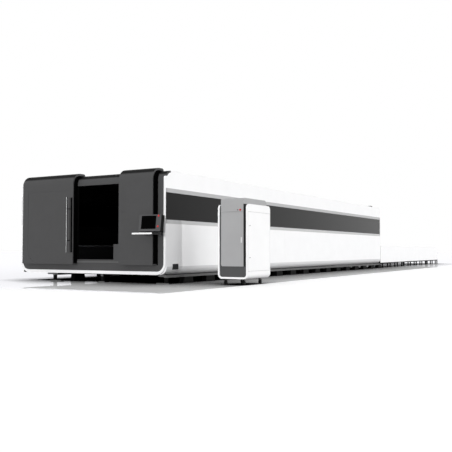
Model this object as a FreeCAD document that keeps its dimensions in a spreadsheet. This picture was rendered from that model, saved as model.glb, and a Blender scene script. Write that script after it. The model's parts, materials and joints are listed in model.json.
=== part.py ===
import FreeCAD, Part
import math
import operator
import os
import Sketcher

# Enclosed fiber laser cutting machine, 12 m class, with its exchange table and laser cabinet.
# Frame: X along the machine from its dark front to the exchange table, Y to the machine's left,
# Z up. The origin is on the floor, at the centre of the front right levelling foot.

VECTOR = FreeCAD.Vector

SIZES = {
    # housing
    "housing_right": 0,
    "housing_width": 4750,
    "housing_front": -40,
    "housing_rear": 16704,
    "roof_level": 2700,
    "panel_thick": 40,
    "wall_seam": 6570,
    "seam_gap": 4,
    "wall_curve": 200,
    "trim_depth": 25,
    "trim_rise": 95,
    "window_low": 1526,
    "window_high": 2180,
    "window_thick": 20,
    "window_seam": 13640,
    # front rim and fascia
    "rim_low": 212,
    "rim_width": 78,
    "rim_side": 55,
    "rim_corner": 278,
    "rim_high": 2560,
    "front_skin": 50,
    "front_shoulder": 210,
    "opening_right": 1250,
    "opening_left": 2750,
    "opening_low": 567,
    "opening_high": 2443,
    "notch_side": 1568,
    "notch_top": 950,
    # sliding door and fixed cover, two hoods of one section
    "hood_proud": 182,
    "hood_low": 444,
    "hood_high": 2770,
    "hood_shoulder": 270,
    "hood_back": 232,
    "hood_back_curve": 60,
    "hood_skin": 30,
    "hood_cheek": 10,
    "hood_brow": 55,
    "mouth_curve": 225,
    "seal_thick": 20,
    "cover_right": 250,
    "cover_left": 1263,
    "door_right": 2746,
    "door_margin": 220,
    "door_gap": 3,
    "inset_right": 2800,
    "inset_margin": 193,
    "inset_low": 472,
    "inset_high": 2325,
    "inset_curve": 350,
    "inset_depth": 4,
    "handle_side": 2850,
    "handle_low": 745,
    "handle_high": 2150,
    "handle_radius": 18,
    "handle_reach": 112,
    "handle_stem": 10,
    "stem_inset": 300,
    "track_front": 176,
    "track_width": 16,
    "track_height": 10,
    "track_start": 1290,
    "track_margin": 30,
    "roller_radius": 8,
    "hanger_thick": 6,
    "guide_level": 487,
    "guide_height": 38,
    "guide_depth": 15,
    # running clearances
    "rest_gap": 0.3,
    "pin_gap": 0.05,
    "slide_gap": 3,
    # side vent and exhaust flange
    "vent_start": 258,
    "vent_length": 241,
    "vent_low": 337,
    "vent_height": 134,
    "louvre_pitch": 24,
    "louvre_open": 14,
    "flange_start": 15390,
    "flange_length": 240,
    "flange_width": 240,
    "flange_height": 35,
    "flange_wall": 12,
    # service door, left side
    "service_start": 24,
    "service_width": 1040,
    "service_low": 420,
    "service_high": 2300,
    "bay_end": 1130,
    "hinge_radius": 9,
    "hinge_length": 60,
    "hinge_plate": 34,
    "bar_radius": 14,
    "bar_reach": 100,
    "bar_inset": 36,
    "bar_low": 1475,
    "bar_high": 2240,
    # base and feet
    "base_height": 60,
    "base_beam": 80,
    "base_left": 3590,
    "outrigger": 190,
    "foot_lead": 860,
    "foot_pitch": 1037,
    "foot_length": 440,
    "foot_top": 380,
    "foot_width": 130,
    "foot_pad": 25,
    "foot_post": 70,
    "pad_length": 120,
    "pad_outside": 110,
    "pad_inside": 250,
    "bracket_reach": 200,
    "middle_foot": 1930,
    # bed
    "bed_middle": 1850,
    "bed_outer": 1630,
    "bed_inner": 1400,
    "bed_start": 150,
    "bed_end": 15450,
    "bed_top": 900,
    "bed_tube": 120,
    "bed_window": 260,
    "ledge_width": 80,
    "ledge_thick": 15,
    "ledge_top": 595,
    "ledge_start": 2900,
    "guide_rail_width": 60,
    "guide_rail_height": 30,
    # pallets
    "pallet_length": 12300,
    "pallet_half": 1300,
    "pallet_start": 3000,
    "pallet_shift": 12550,
    "pallet_beam": 60,
    "pallet_beam_height": 70,
    "slat_height": 90,
    "slat_thick": 5,
    "wheel_radius": 30,
    "wheel_width": 45,
    "tier_step": 200,
    # gantry
    "gantry_start": 2450,
    "truck_length": 450,
    "truck_height": 150,
    "beam_depth": 330,
    "beam_height": 350,
    "beam_skin": 20,
    "saddle_width": 420,
    "saddle_thick": 110,
    "slide_width": 240,
    "slide_thick": 90,
    "head_radius": 50,
    "nozzle_tip": 1010,
    # exchange table
    "table_start": 16760,
    "table_end": 28040,
    "table_right": 0,
    "table_left": 3700,
    "table_top": 988,
    "table_low": 236,
    "table_skin": 25,
    "leg_lead": 365,
    "leg_span": 480,
    "leg_size": 50,
    "leg_bar": 45,
    "lift_start": 15520,
    "lift_low": 500,
    "lift_tube": 60,
    "lift_wall": 100,
    "lift_top": 830,
    "jack_half": 45,
    "jack_collar": 55,
    "rod_radius": 25,
    "rod_low": 225,
    # operator console
    "console_front": -447,
    "console_right": -140,
    "console_low": 1238,
    "console_width": 630,
    "console_height": 392,
    "console_depth": 120,
    "console_curve": 18,
    "console_tilt": 8,
    "screen_right": 140,
    "screen_low": 56,
    "screen_width": 424,
    "screen_height": 312,
    "screen_recess": 6,
    "stop_side": 72,
    "stop_upper": 359,
    "stop_lower": 112,
    "stop_head": 22,
    "stop_cap": 14,
    "stop_stem": 8,
    "stop_stem_length": 18,
    "stop_travel": 6,
    "tray_front": -720,
    "tray_back": -425,
    "tray_right": -105,
    "tray_left": 463,
    "tray_low": 1163,
    "tray_high": 1200,
    "tray_wall": 4,
    "tray_floor": 22,
    "arm_pivot": -95,
    "arm_post": -370,
    "arm_side": 130,
    "arm_low": 1165,
    "arm_high": 1215,
    "arm_width": 56,
    "arm_barrel": 28,
    "arm_pin": 12,
    "ear_thick": 22,
    "cycle_side": 1147,
    "cycle_level": 1728,
    "cycle_radius": 14,
    # laser and electrical cabinet
    "cabinet_front": 360,
    "cabinet_right": -1980,
    "cabinet_width": 780,
    "cabinet_length": 1145,
    "cabinet_low": 143,
    "cabinet_shell_top": 1853,
    "cabinet_top": 1990,
    "cabinet_shell": 42,
    "cabinet_corner": 105,
    "cabinet_top_curve": 95,
    "core_recess": 25,
    "core_wall": 20,
    "spine_margin": 85,
    "spine_slope": 70,
    "spine_curve": 40,
    "door_low": 430,
    "door_high": 1675,
    "door_thick": 22,
    "door_proud": 3,
    "door_corner": 45,
    "pivot_pin": 4,
    "pivot_depth": 16,
    "door_seam": 4,
    "side_seam_low": 321,
    "side_seam_high": 1678,
    "side_seam_inset": 18,
    "latch_side": -1826,
    "latch_level": 1085,
    "latch_length": 130,
    "latch_width": 26,
    "latch_thick": 14,
    "button_level": 1720,
    "cabinet_stop_side": -1798,
    "cabinet_button_side": -1726,
    "button_radius": 12,
    "caster_front": 75,
    "caster_rear": 270,
    "caster_side": 150,
    "caster_trail": 28,
    "caster_radius": 50,
    "caster_width": 44,
    "fork_thick": 5,
    "axle_radius": 6,
}
COUNTS = {
    "foot_columns": 16,
    "base_crosses": 4,
    "table_legs": 10,
    "bed_windows": 10,
    "bed_crosses": 8,
    "slats": 98,
    "pallet_wheels": 5,
    "pallet_crosses": 6,
    "louvres": 5,
    "hinges": 2,
    "lift_crosses": 5,
    "jacks": 3,
}

doc = FreeCAD.newDocument("laser_cutting_machine")
sheet = doc.addObject("Spreadsheet::Sheet", "Sizes")
for row, (name, value) in enumerate({**SIZES, **COUNTS}.items(), 1):
    sheet.set(f"A{row}", name)
    sheet.set(f"B{row}", str(value))
    sheet.setAlias(f"B{row}", name)
doc.recompute()

OPERATIONS = {"+": operator.add, "-": operator.sub, "*": operator.mul, "/": operator.truediv}


class Size:
    """A size: its value in mm, and the expression that gives it from the sheet."""

    def __init__(self, value, text):
        self.value = float(value)
        self.text = text

    def __add__(self, other):
        return combined(self, "+", other)

    def __radd__(self, other):
        return combined(other, "+", self)

    def __sub__(self, other):
        return combined(self, "-", other)

    def __rsub__(self, other):
        return combined(other, "-", self)

    def __mul__(self, other):
        return combined(self, "*", other)

    def __rmul__(self, other):
        return combined(other, "*", self)

    def __truediv__(self, other):
        return combined(self, "/", other)


def as_size(number):
    return number if isinstance(number, Size) else Size(number, f"({number})")


def combined(left, sign, right):
    left = as_size(left)
    right = as_size(right)
    return Size(OPERATIONS[sign](left.value, right.value), f"({left.text} {sign} {right.text})")


class Sheet:
    """The sheet's sizes by name."""

    def __getattr__(self, name):
        return Size({**SIZES, **COUNTS}[name], "Sizes." + name)


s = Sheet()
PIECES = {}
CUTS = []


def piece(label, solid):
    """Names a finished sub-part and keeps it for writing."""
    solid.Label = label
    PIECES[label] = solid
    return solid


def bind(thing, prop, size):
    thing.setExpression(prop, as_size(size).text)


def block(low, high):
    """A rectangular solid between two corners."""
    solid = doc.addObject("Part::Box", "Block")
    for axis, prop, start, end in zip("xyz", ("Length", "Width", "Height"), low, high):
        bind(solid, "Placement.Base." + axis, start)
        bind(solid, prop, as_size(end) - start)
    return solid


AXIS_TURN = {
    "X": FreeCAD.Rotation(VECTOR(0, 1, 0), 90),
    "Y": FreeCAD.Rotation(VECTOR(1, 0, 0), -90),
    "Z": FreeCAD.Rotation(),
}


def rod(start, axis, length, radius):
    """A cylinder from the centre of its first end, along a row axis."""
    solid = doc.addObject("Part::Cylinder", "Rod")
    solid.Placement.Rotation = AXIS_TURN[axis]
    for name, place in zip("xyz", start):
        bind(solid, "Placement.Base." + name, place)
    bind(solid, "Height", length)
    bind(solid, "Radius", radius)
    return solid


def fuse(*solids):
    joined = doc.addObject("Part::MultiFuse", "Fuse")
    joined.Shapes = list(solids)
    joined.Refine = True
    return joined


def cut(base, tool):
    opened = doc.addObject("Part::Cut", "Cut")
    opened.Base = base
    opened.Tool = tool
    CUTS.append((opened, base))
    return opened


def group(solids):
    together = doc.addObject("Part::Compound", "Group")
    together.Links = list(solids)
    return together


def new_body():
    body = doc.addObject("PartDesign::Body", "Body")
    body.AllowCompound = True
    return body


def arc_geometry(start, end, radius, turn):
    """The arc under a half circle from start to end, turning left (1) or right (-1)."""
    chord = end - start
    reach = math.sqrt(max(radius**2 - (chord.Length / 2) ** 2, 0))
    side = VECTOR(-chord.y, chord.x, 0).normalize() * turn
    centre = (start + end) * 0.5 + side * reach
    first, last = (start, end) if turn > 0 else (end, start)
    angle_first = math.atan2(first.y - centre.y, first.x - centre.x)
    angle_last = math.atan2(last.y - centre.y, last.x - centre.x)
    if angle_last < angle_first:
        angle_last += 2 * math.pi
    return Part.ArcOfCircle(Part.Circle(centre, VECTOR(0, 0, 1), radius), angle_first, angle_last)


def outline_into(drawing, outline):
    """Adds a closed outline. A point is (a, b), or (a, b, radius, turn) where an arc leads to it."""
    count = len(outline)
    places = [VECTOR(as_size(p[0]).value, as_size(p[1]).value, 0) for p in outline]
    ends = []
    for index, place in enumerate(places):
        target = outline[(index + 1) % count]
        goal = places[(index + 1) % count]
        if len(target) == 2:
            edge = drawing.addGeometry(Part.LineSegment(place, goal))
            ends.append((edge, 1, 2))
            continue
        radius, turn = as_size(target[2]), target[3]
        edge = drawing.addGeometry(arc_geometry(place, goal, radius.value, turn))
        ends.append((edge, 1, 2) if turn > 0 else (edge, 2, 1))
        held = drawing.addConstraint(Sketcher.Constraint("Radius", edge, radius.value))
        bind(drawing, f"Constraints[{held}]", radius)
    for index, (edge, first, last) in enumerate(ends):
        following, start = ends[(index + 1) % count][:2]
        drawing.addConstraint(Sketcher.Constraint("Coincident", edge, last, following, start))
        for kind, size, value in (
            ("DistanceX", outline[index][0], places[index].x),
            ("DistanceY", outline[index][1], places[index].y),
        ):
            held = drawing.addConstraint(Sketcher.Constraint(kind, -1, 1, edge, first, value))
            bind(drawing, f"Constraints[{held}]", size)


def sketch(body, plane, level, outlines):
    """Closed outlines in an origin plane of the body, moved by level along the plane's normal."""
    drawing = body.newObject("Sketcher::SketchObject", "Outline")
    origin_plane = [part for part in body.Origin.OriginFeatures if part.Role == plane + "_Plane"][0]
    drawing.AttachmentSupport = [(origin_plane, "")]
    drawing.MapMode = "FlatFace"
    bind(drawing, "AttachmentOffset.Base.z", level)
    for outline in outlines:
        outline_into(drawing, outline)
    return drawing


def pad(body, plane, low, high, *outlines):
    """Material between two levels of the plane's own row axis. XZ sketches face towards -Y."""
    backward = plane == "XZ"
    level = 0 - as_size(low) if backward else low
    feature = body.newObject("PartDesign::Pad", "Pad")
    feature.Profile = sketch(body, plane, level, outlines)
    feature.Reversed = backward
    bind(feature, "Length", as_size(high) - low)
    body.Tip = feature
    return feature


def pocket(body, plane, low, high, *outlines):
    """A cut between two levels of the plane's own row axis."""
    backward = plane == "XZ"
    level = 0 - as_size(low) if backward else high
    base = body.Tip
    feature = body.newObject("PartDesign::Pocket", "Pocket")
    feature.Profile = sketch(body, plane, level, outlines)
    bind(feature, "Length", as_size(high) - low)
    body.Tip = feature
    CUTS.append((feature, base))
    return feature


def pattern(body, feature, axis, length, count):
    """Repeats a feature along its own sketch axis: N is the normal, H and V lie in it."""
    copies = body.newObject("PartDesign::LinearPattern", "Pattern")
    copies.Originals = [feature]
    copies.Direction = (feature.Profile[0], [axis + "_Axis"])
    bind(copies, "Length", length)
    bind(copies, "Occurrences", count)
    body.Tip = copies
    return copies


def revolve(body, outline):
    """Turns an outline of the XZ plane, given as (along X, radius), about the body's X axis."""
    feature = body.newObject("PartDesign::Revolution", "Revolution")
    feature.Profile = sketch(body, "XZ", 0, [outline])
    feature.ReferenceAxis = (feature.Profile[0], ["H_Axis"])
    feature.Angle = 360
    body.Tip = feature
    return feature


def rectangle(a_low, b_low, a_high, b_high):
    return [(a_low, b_low), (a_high, b_low), (a_high, b_high), (a_low, b_high)]


def rounded(a_low, b_low, a_high, b_high, low_radius, high_radius=None):
    """A rectangle with rounded lower corners, and upper ones where a radius is given."""
    points = [
        (a_low + low_radius, b_low),
        (a_high - low_radius, b_low),
        (a_high, b_low + low_radius, low_radius, 1),
    ]
    if high_radius is None:
        points += [(a_high, b_high), (a_low, b_high)]
    else:
        points += [
            (a_high, b_high - high_radius),
            (a_high - high_radius, b_high, high_radius, 1),
            (a_low + high_radius, b_high),
            (a_low, b_high - high_radius, high_radius, 1),
        ]
    points[0] = (a_low + low_radius, b_low, low_radius, 1)
    points.append((a_low, b_low + low_radius))
    return points


def chamfered(a_low, b_low, a_high, b_high, corner):
    """A rectangle with its four corners cut off."""
    return [
        (a_low + corner, b_low),
        (a_high - corner, b_low),
        (a_high, b_low + corner),
        (a_high, b_high - corner),
        (a_high - corner, b_high),
        (a_low + corner, b_high),
        (a_low, b_high - corner),
        (a_low, b_low + corner),
    ]


def spread(start, end, count):
    """Even places from start to end, as sizes."""
    return [start + (end - start) * step / (count - 1) for step in range(count)]


def place_body(body, x, y, z):
    for axis, place in zip("xyz", (x, y, z)):
        bind(body, "Placement.Base." + axis, place)


# ---------------------------------------------------------------- housing sizes that others use
housing_left = s.housing_right + s.housing_width
inner_right = s.housing_right + s.panel_thick
inner_left = housing_left - s.panel_thick
fascia_right = s.housing_right + s.rim_side
fascia_left = housing_left - s.rim_side
fascia_low = s.rim_low + s.rim_width
front_back = s.housing_front + s.front_skin
shoulder_end = s.housing_front + s.front_shoulder
shoulder_start = s.roof_level - s.front_shoulder
inner_shoulder = s.front_shoulder - s.front_skin
wall_low = s.rim_low
door_left = housing_left - s.door_margin


def front_section(low):
    """The front skin in XZ: upright, then curved back over the shoulder to the roof."""
    return [
        (s.housing_front, low),
        (front_back, low),
        (front_back, shoulder_start),
        (shoulder_end, s.roof_level - s.front_skin, inner_shoulder, -1),
        (shoulder_end, s.roof_level),
        (s.housing_front, shoulder_start, s.front_shoulder, 1),
    ]


def make_front_rim():
    """The white frame: a U round the fascia's bottom and sides, which ends on the shoulder."""
    body = new_body()
    pad(body, "XZ", s.housing_right, housing_left, front_section(s.rim_low))
    above = rectangle(s.housing_front - 1, s.rim_high, shoulder_end + 1, s.roof_level + 1)
    pocket(body, "XZ", s.housing_right - 1, housing_left + 1, above)
    reach = s.rim_corner
    outer_right = [
        (s.housing_right - reach, s.rim_low - reach),
        (s.housing_right + reach, s.rim_low - reach),
        (s.housing_right + reach, s.rim_low),
        (s.housing_right, s.rim_low + reach, reach, -1),
        (s.housing_right - reach, s.rim_low + reach),
    ]
    outer_left = [
        (housing_left + reach, s.rim_low - reach),
        (housing_left + reach, s.rim_low + reach),
        (housing_left, s.rim_low + reach),
        (housing_left - reach, s.rim_low, reach, -1),
        (housing_left - reach, s.rim_low - reach),
    ]
    pocket(body, "YZ", s.housing_front - 1, shoulder_end + 1, outer_right, outer_left)
    inner_corner = s.rim_corner - s.rim_width
    inside = rounded(fascia_right, fascia_low, fascia_left, s.rim_high + 1, inner_corner)
    pocket(body, "YZ", s.housing_front - 1, shoulder_end + 1, inside)
    piece("front_rim", body)


def make_fascia():
    """The dark front: inside the rim below, and over the whole width above the rim's ends."""
    body = new_body()
    pad(body, "XZ", s.housing_right, housing_left, front_section(fascia_low))
    radius = s.rim_corner - s.rim_width
    beside_right = [
        (s.housing_right - 1, fascia_low - 1),
        (fascia_right + radius, fascia_low - 1),
        (fascia_right + radius, fascia_low),
        (fascia_right, fascia_low + radius, radius, -1),
        (fascia_right, s.rim_high),
        (s.housing_right - 1, s.rim_high),
    ]
    beside_left = [
        (housing_left + 1, fascia_low - 1),
        (housing_left + 1, s.rim_high),
        (fascia_left, s.rim_high),
        (fascia_left, fascia_low + radius),
        (fascia_left - radius, fascia_low, radius, -1),
        (fascia_left - radius, fascia_low - 1),
    ]
    pocket(body, "YZ", s.housing_front - 1, shoulder_end + 1, beside_right, beside_left)
    opening = [
        (s.notch_side, s.opening_low),
        (s.opening_left, s.opening_low),
        (s.opening_left, s.opening_high),
        (s.opening_right, s.opening_high),
        (s.opening_right, s.notch_top),
        (s.notch_side, s.notch_top),
    ]
    pocket(body, "YZ", s.housing_front - 1, front_back + 1, opening)
    piece("fascia", body)


# ---------------------------------------------------------------- side walls, windows and roof
def wall_sections(across):
    """Upper and lower wall sections in YZ. across maps the right wall's Y to either side."""
    turn = 1 if across(as_size(1)).value > across(as_size(0)).value else -1
    outer = s.housing_right
    recess = s.housing_right + s.trim_depth
    lip = recess + s.panel_thick
    trim_top = s.window_high + s.trim_rise
    trim_low = s.window_low - s.trim_rise
    curve = s.wall_curve
    inner_curve = s.wall_curve - s.panel_thick
    upper = [
        (across(outer), s.roof_level),
        (across(outer), trim_top),
        (across(recess), s.window_high),
        (across(lip), s.window_high),
        (across(inner_right), trim_top),
        (across(inner_right), s.roof_level),
    ]
    lower = [
        (across(recess), s.window_low),
        (across(outer), trim_low),
        (across(outer), wall_low + curve),
        (across(outer + curve), wall_low, curve, turn),
        (across(outer + curve), wall_low + s.panel_thick),
        (across(inner_right), wall_low + curve, inner_curve, -turn),
        (across(inner_right), trim_low),
        (across(lip), s.window_low),
    ]
    return upper, lower


def same_side(y):
    return y


def far_side(y):
    return 2 * s.housing_right + s.housing_width - y


def front_corner_cut():
    """What the wall's front top corner gives up to the rim's shoulder, in XZ."""
    return [
        (front_back - s.panel_thick, shoulder_start),
        (front_back, shoulder_start),
        (shoulder_end, s.roof_level - s.front_skin, inner_shoulder, -1),
        (shoulder_end, s.roof_level + s.panel_thick),
        (front_back - s.panel_thick, s.roof_level + s.panel_thick),
    ]


def wall_run(section, start, end):
    body = new_body()
    pad(body, "YZ", start, end, section)
    return body


def make_right_wall():
    upper, lower = wall_sections(same_side)
    edge = s.wall_seam - s.seam_gap / 2
    front_upper = wall_run(upper, front_back, edge)
    reach = s.housing_right + s.trim_depth + s.panel_thick
    pocket(front_upper, "XZ", s.housing_right - 1, reach + 1, front_corner_cut())
    front_lower = wall_run(lower, front_back, edge)
    vent_end = s.vent_start + s.vent_length
    vent_hole = rectangle(s.vent_start, s.vent_low, vent_end, s.vent_low + s.vent_height)
    pocket(front_lower, "XZ", s.housing_right - 1, s.housing_right + s.wall_curve, vent_hole)
    rear = [wall_run(part, edge + s.seam_gap, s.housing_rear) for part in (upper, lower)]
    piece("right_wall", group([front_upper, front_lower] + rear))


def make_left_wall():
    upper, lower = wall_sections(far_side)
    edge = s.wall_seam - s.seam_gap / 2
    runs = [wall_run(part, s.bay_end, edge) for part in (upper, lower)]
    runs += [wall_run(part, edge + s.seam_gap, s.housing_rear) for part in (upper, lower)]
    bay = new_body()
    pad(bay, "XZ", inner_left, housing_left, rectangle(front_back, wall_low, s.bay_end, s.roof_level))
    pocket(bay, "XZ", inner_left - 1, housing_left + 1, front_corner_cut())
    service_end = s.service_start + s.service_width
    hole = rectangle(s.service_start, s.service_low, service_end, s.service_high)
    pocket(bay, "XZ", inner_left - 1, housing_left + 1, hole)
    piece("left_wall", group([fuse(bay, *wall_knuckles())] + runs))


def make_window(label, across, start):
    near = across(s.housing_right + s.trim_depth)
    far = across(s.housing_right + s.trim_depth + s.window_thick)
    low, high = (near, far) if near.value < far.value else (far, near)
    edge = s.window_seam - s.seam_gap / 2
    panes = [
        block((start, low, s.window_low), (edge, high, s.window_high)),
        block((edge + s.seam_gap, low, s.window_low), (s.housing_rear, high, s.window_high)),
    ]
    piece(label, group(panes))


def make_roof():
    low = s.roof_level - s.panel_thick
    edge = s.wall_seam - s.seam_gap / 2
    panels = [
        block((shoulder_end, inner_right, low), (edge, inner_left, s.roof_level)),
        block((edge + s.seam_gap, inner_right, low), (s.housing_rear, inner_left, s.roof_level)),
    ]
    piece("roof_panels", group(panels))


portal_right = s.bed_middle - s.bed_inner - s.lift_wall - s.pallet_beam
portal_left = s.bed_middle + s.bed_inner + s.lift_wall + s.pallet_beam
portal_low = s.lift_low - s.tier_step - s.ledge_thick
portal_high = s.table_top + s.ledge_thick


def make_rear_portal():
    body = new_body()
    right = inner_right + s.trim_depth
    left = inner_left - s.trim_depth
    high = s.roof_level - s.panel_thick
    low = s.rim_low + s.wall_curve
    sides = [
        (right, low),
        (s.housing_right + s.wall_curve, low),
        (s.housing_right + s.wall_curve, s.rim_low + s.panel_thick),
        (housing_left - s.wall_curve, s.rim_low + s.panel_thick),
        (housing_left - s.wall_curve, low),
        (left, low),
        (left, high),
        (right, high),
    ]
    pad(body, "YZ", s.housing_rear - s.panel_thick, s.housing_rear, sides)
    mouth = rectangle(portal_right, portal_low, portal_left, portal_high)
    pocket(body, "YZ", s.housing_rear - s.panel_thick - 1, s.housing_rear + 1, mouth)
    piece("rear_portal", body)


def make_side_vent():
    """A framed grille whose louvres lean outwards, set flush in the wall's lower curve."""
    body = new_body()
    end = s.vent_start + s.vent_length
    high = s.vent_low + s.vent_height
    face = s.housing_right - 4
    back = s.housing_right + s.panel_thick
    pad(body, "XZ", face, back, rectangle(s.vent_start, s.vent_low, end, high))
    edge = s.louvre_open / 2
    slot = [
        (face - 1, s.vent_low + edge),
        (back - edge, s.vent_low + edge + s.louvre_open),
        (back - edge, s.vent_low + edge + s.louvre_open + s.louvre_open),
        (face - 1, s.vent_low + edge + s.louvre_open),
    ]
    louvre = pocket(body, "YZ", s.vent_start + edge, end - edge, slot)
    pattern(body, louvre, "V", s.louvre_pitch * (s.louvres - 1), s.louvres)
    piece("side_vent", body)


def make_exhaust_flange():
    right = s.housing_right + s.flange_wall
    low = (s.flange_start, right, s.roof_level)
    end = s.flange_start + s.flange_length
    high = (end, right + s.flange_width, s.roof_level + s.flange_height)
    wall = s.flange_wall
    inside_low = (s.flange_start + wall, right + wall, s.roof_level + wall)
    inside_high = (end - wall, right + s.flange_width - wall, s.roof_level + s.flange_height + 1)
    piece("exhaust_flange", cut(block(low, high), block(inside_low, inside_high)))


# ---------------------------------------------------------------- sliding door and right cover
hood_front = s.housing_front - s.hood_proud
hood_inner = hood_front + s.hood_skin
hood_arc = s.hood_high - s.hood_shoulder


def hood_outline(gap):
    """A hood's section in XZ: down the fascia, round its own shoulder and back over the roof."""
    back = s.hood_back - s.hood_back_curve
    return [
        (s.housing_front - gap, s.hood_low),
        (s.housing_front - gap, shoulder_start),
        (shoulder_end, s.roof_level + gap, s.front_shoulder + gap, -1),
        (s.hood_back, s.roof_level + gap),
        (s.hood_back, s.hood_high - s.hood_back_curve),
        (back, s.hood_high, s.hood_back_curve, 1),
        (hood_front + s.hood_shoulder, s.hood_high),
        (hood_front, hood_arc, s.hood_shoulder, 1),
        (hood_front, s.hood_low),
    ]


def hollow_outline(gap):
    """The space inside a hood, open towards the fascia."""
    return [
        (s.housing_front - gap, s.hood_low + s.hood_skin),
        (s.housing_front - gap, shoulder_start),
        (shoulder_end, s.roof_level + gap, s.front_shoulder + gap, -1),
        (s.hood_back - s.hood_skin, s.roof_level + gap),
        (s.hood_back - s.hood_skin, s.hood_high - s.hood_skin),
        (hood_front + s.hood_shoulder, s.hood_high - s.hood_skin),
        (hood_inner, hood_arc, s.hood_shoulder - s.hood_skin, 1),
        (hood_inner, s.hood_low + s.hood_skin),
    ]


def mouth_outline(gap):
    """The opening in a hood's right end: a band between two shoulders, thin over the roof."""
    high = s.hood_high - s.hood_brow
    return [
        (s.housing_front - gap, s.hood_low + s.hood_skin),
        (s.housing_front - gap, shoulder_start),
        (shoulder_end, s.roof_level + gap, s.front_shoulder + gap, -1),
        (s.hood_back - s.hood_skin, s.roof_level + gap),
        (s.hood_back - s.hood_skin, high),
        (hood_inner + s.mouth_curve, high),
        (hood_inner, high - s.mouth_curve, s.mouth_curve, 1),
        (hood_inner, s.hood_low + s.hood_skin),
    ]


def make_hood(right, left, gap):
    """A folded hood with a closed left end, and a right end that is open along its mouth."""
    body = new_body()
    pad(body, "XZ", right, left, hood_outline(gap))
    pocket(body, "XZ", right + s.hood_cheek, left - s.hood_cheek, hollow_outline(gap))
    pocket(body, "XZ", right - 1, right + s.hood_cheek + 1, mouth_outline(gap))
    return body


def end_seal(right, gap):
    """The black skin that fills the mouth in a hood's right end."""
    body = new_body()
    start = right + 2
    pad(body, "XZ", start, start + s.seal_thick, mouth_outline(gap))
    return body


def make_door():
    body = make_hood(s.door_right, door_left, s.door_gap)
    curve = s.inset_curve
    inset_left = door_left - s.inset_margin
    inset = [
        (s.inset_right, s.inset_low),
        (inset_left - curve, s.inset_low),
        (inset_left, s.inset_low + curve, curve, 1),
        (inset_left, s.inset_high),
        (s.inset_right, s.inset_high),
    ]
    pocket(body, "YZ", hood_front - 1, hood_front + s.inset_depth, inset)
    free = s.slide_gap
    rail_back = s.track_front + s.track_width
    rail_notch = rectangle(
        s.track_front - free, s.roof_level, rail_back + free, s.roof_level + s.track_height + free
    )
    guide_front = s.housing_front - s.guide_depth - free
    guide_high = s.guide_level + s.guide_height + free
    guide_notch = rectangle(guide_front, s.guide_level - free, s.housing_front, guide_high)
    pocket(body, "XZ", s.door_right - 1, door_left + 1, rail_notch, guide_notch)
    piece("front_door", body)
    seal = end_seal(s.door_right, s.door_gap)
    seal_end = s.door_right + s.seal_thick * 2
    pocket(seal, "XZ", s.door_right, seal_end, rail_notch, guide_notch)
    piece("door_end_seal", seal)


def make_door_handle():
    axis = hood_front - s.handle_reach
    bar = rod((axis, s.handle_side, s.handle_low), "Z", s.handle_high - s.handle_low, s.handle_radius)
    reach = s.handle_reach + s.inset_depth
    stems = [
        rod((axis, s.handle_side, level), "X", reach, s.handle_stem)
        for level in (s.handle_low + s.stem_inset, s.handle_high - s.stem_inset)
    ]
    piece("door_handle", fuse(bar, *stems))


def make_cover():
    body = make_hood(s.cover_right, s.cover_left, 0)
    hole = s.cycle_radius + s.pin_gap
    button_hole = rod(
        (hood_front - 1, s.cycle_side, s.cycle_level), "X", s.hood_skin - 6, hole
    )
    piece("right_cover", cut(body, button_hole))
    piece("cover_end_seal", end_seal(s.cover_right, 0))


def make_track():
    """The roof rail that carries the door, and the floor guide below the opening."""
    track_end = door_left - s.track_margin
    rail_low = (s.track_front, s.track_start, s.roof_level)
    rail_high = (s.track_front + s.track_width, track_end, s.roof_level + s.track_height)
    guide_low = (s.housing_front - s.guide_depth, s.track_start, s.guide_level)
    guide_high = (s.housing_front, track_end, s.guide_level + s.guide_height)
    piece("door_track", group([block(rail_low, rail_high), block(guide_low, guide_high)]))


def make_rollers():
    """Rollers on the roof rail, each on a hanger plate, and shoes at the floor guide."""
    level = s.roof_level + s.track_height + s.roller_radius + s.rest_gap
    top = s.hood_high - s.hood_skin
    margin = s.hood_shoulder
    solids = []
    for side in spread(s.door_right + margin, door_left - margin, 3):
        roller = rod((s.track_front, side, level), "X", s.track_width + 2, s.roller_radius)
        plate_front = s.track_front + s.track_width + 1
        low = (plate_front, side - s.roller_radius, s.roof_level + s.door_gap + 1)
        high = (plate_front + s.hanger_thick, side + s.roller_radius, top)
        solids.append(fuse(roller, block(low, high)))
    back = s.housing_front - s.guide_depth - s.slide_gap
    floor = s.hood_low + s.hood_skin
    for side in (s.door_right + margin, door_left - margin):
        low = (back - s.hood_skin, side - s.hood_skin, floor)
        high = (back, side + s.hood_skin, s.guide_level + s.guide_height)
        solids.append(block(low, high))
    piece("door_rollers", group(solids))


# ---------------------------------------------------------------- push buttons
def push_button(label, head, cap, stem, stem_length):
    """A turned button along X: a crowned cap in front of X = 0 and a stem behind it."""
    body = new_body()
    crown = cap * 0.35
    outline = [
        (0 - cap - s.stop_travel, 0),
        (0 - cap - s.stop_travel, head - crown * 2),
        (crown - cap - s.stop_travel, head),
        (0 - s.stop_travel, head),
        (0 - s.stop_travel, stem),
        (stem_length, stem),
        (stem_length, 0),
    ]
    revolve(body, outline)
    return piece(label, body)


def make_cycle_button():
    """A short flat button in the cover: its whole cap travels in its own hole."""
    body = new_body()
    travel = s.stop_travel
    depth = s.hood_skin - 6 - travel - 2
    revolve(
        body,
        [(0 - travel - 1, 0), (0 - travel - 1, s.cycle_radius), (depth, s.cycle_radius), (depth, 0)],
    )
    place_body(body, hood_front, s.cycle_side, s.cycle_level)
    piece("cycle_button", body)


# ---------------------------------------------------------------- service door on the left side
hinge_line = s.service_start + s.service_width - s.seam_gap / 2
hinge_side = housing_left + s.hinge_radius


def hinge_levels():
    reach = s.hinge_length * 1.5
    return spread(s.service_low + reach, s.service_high - reach * 2, COUNTS["hinges"])


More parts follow.
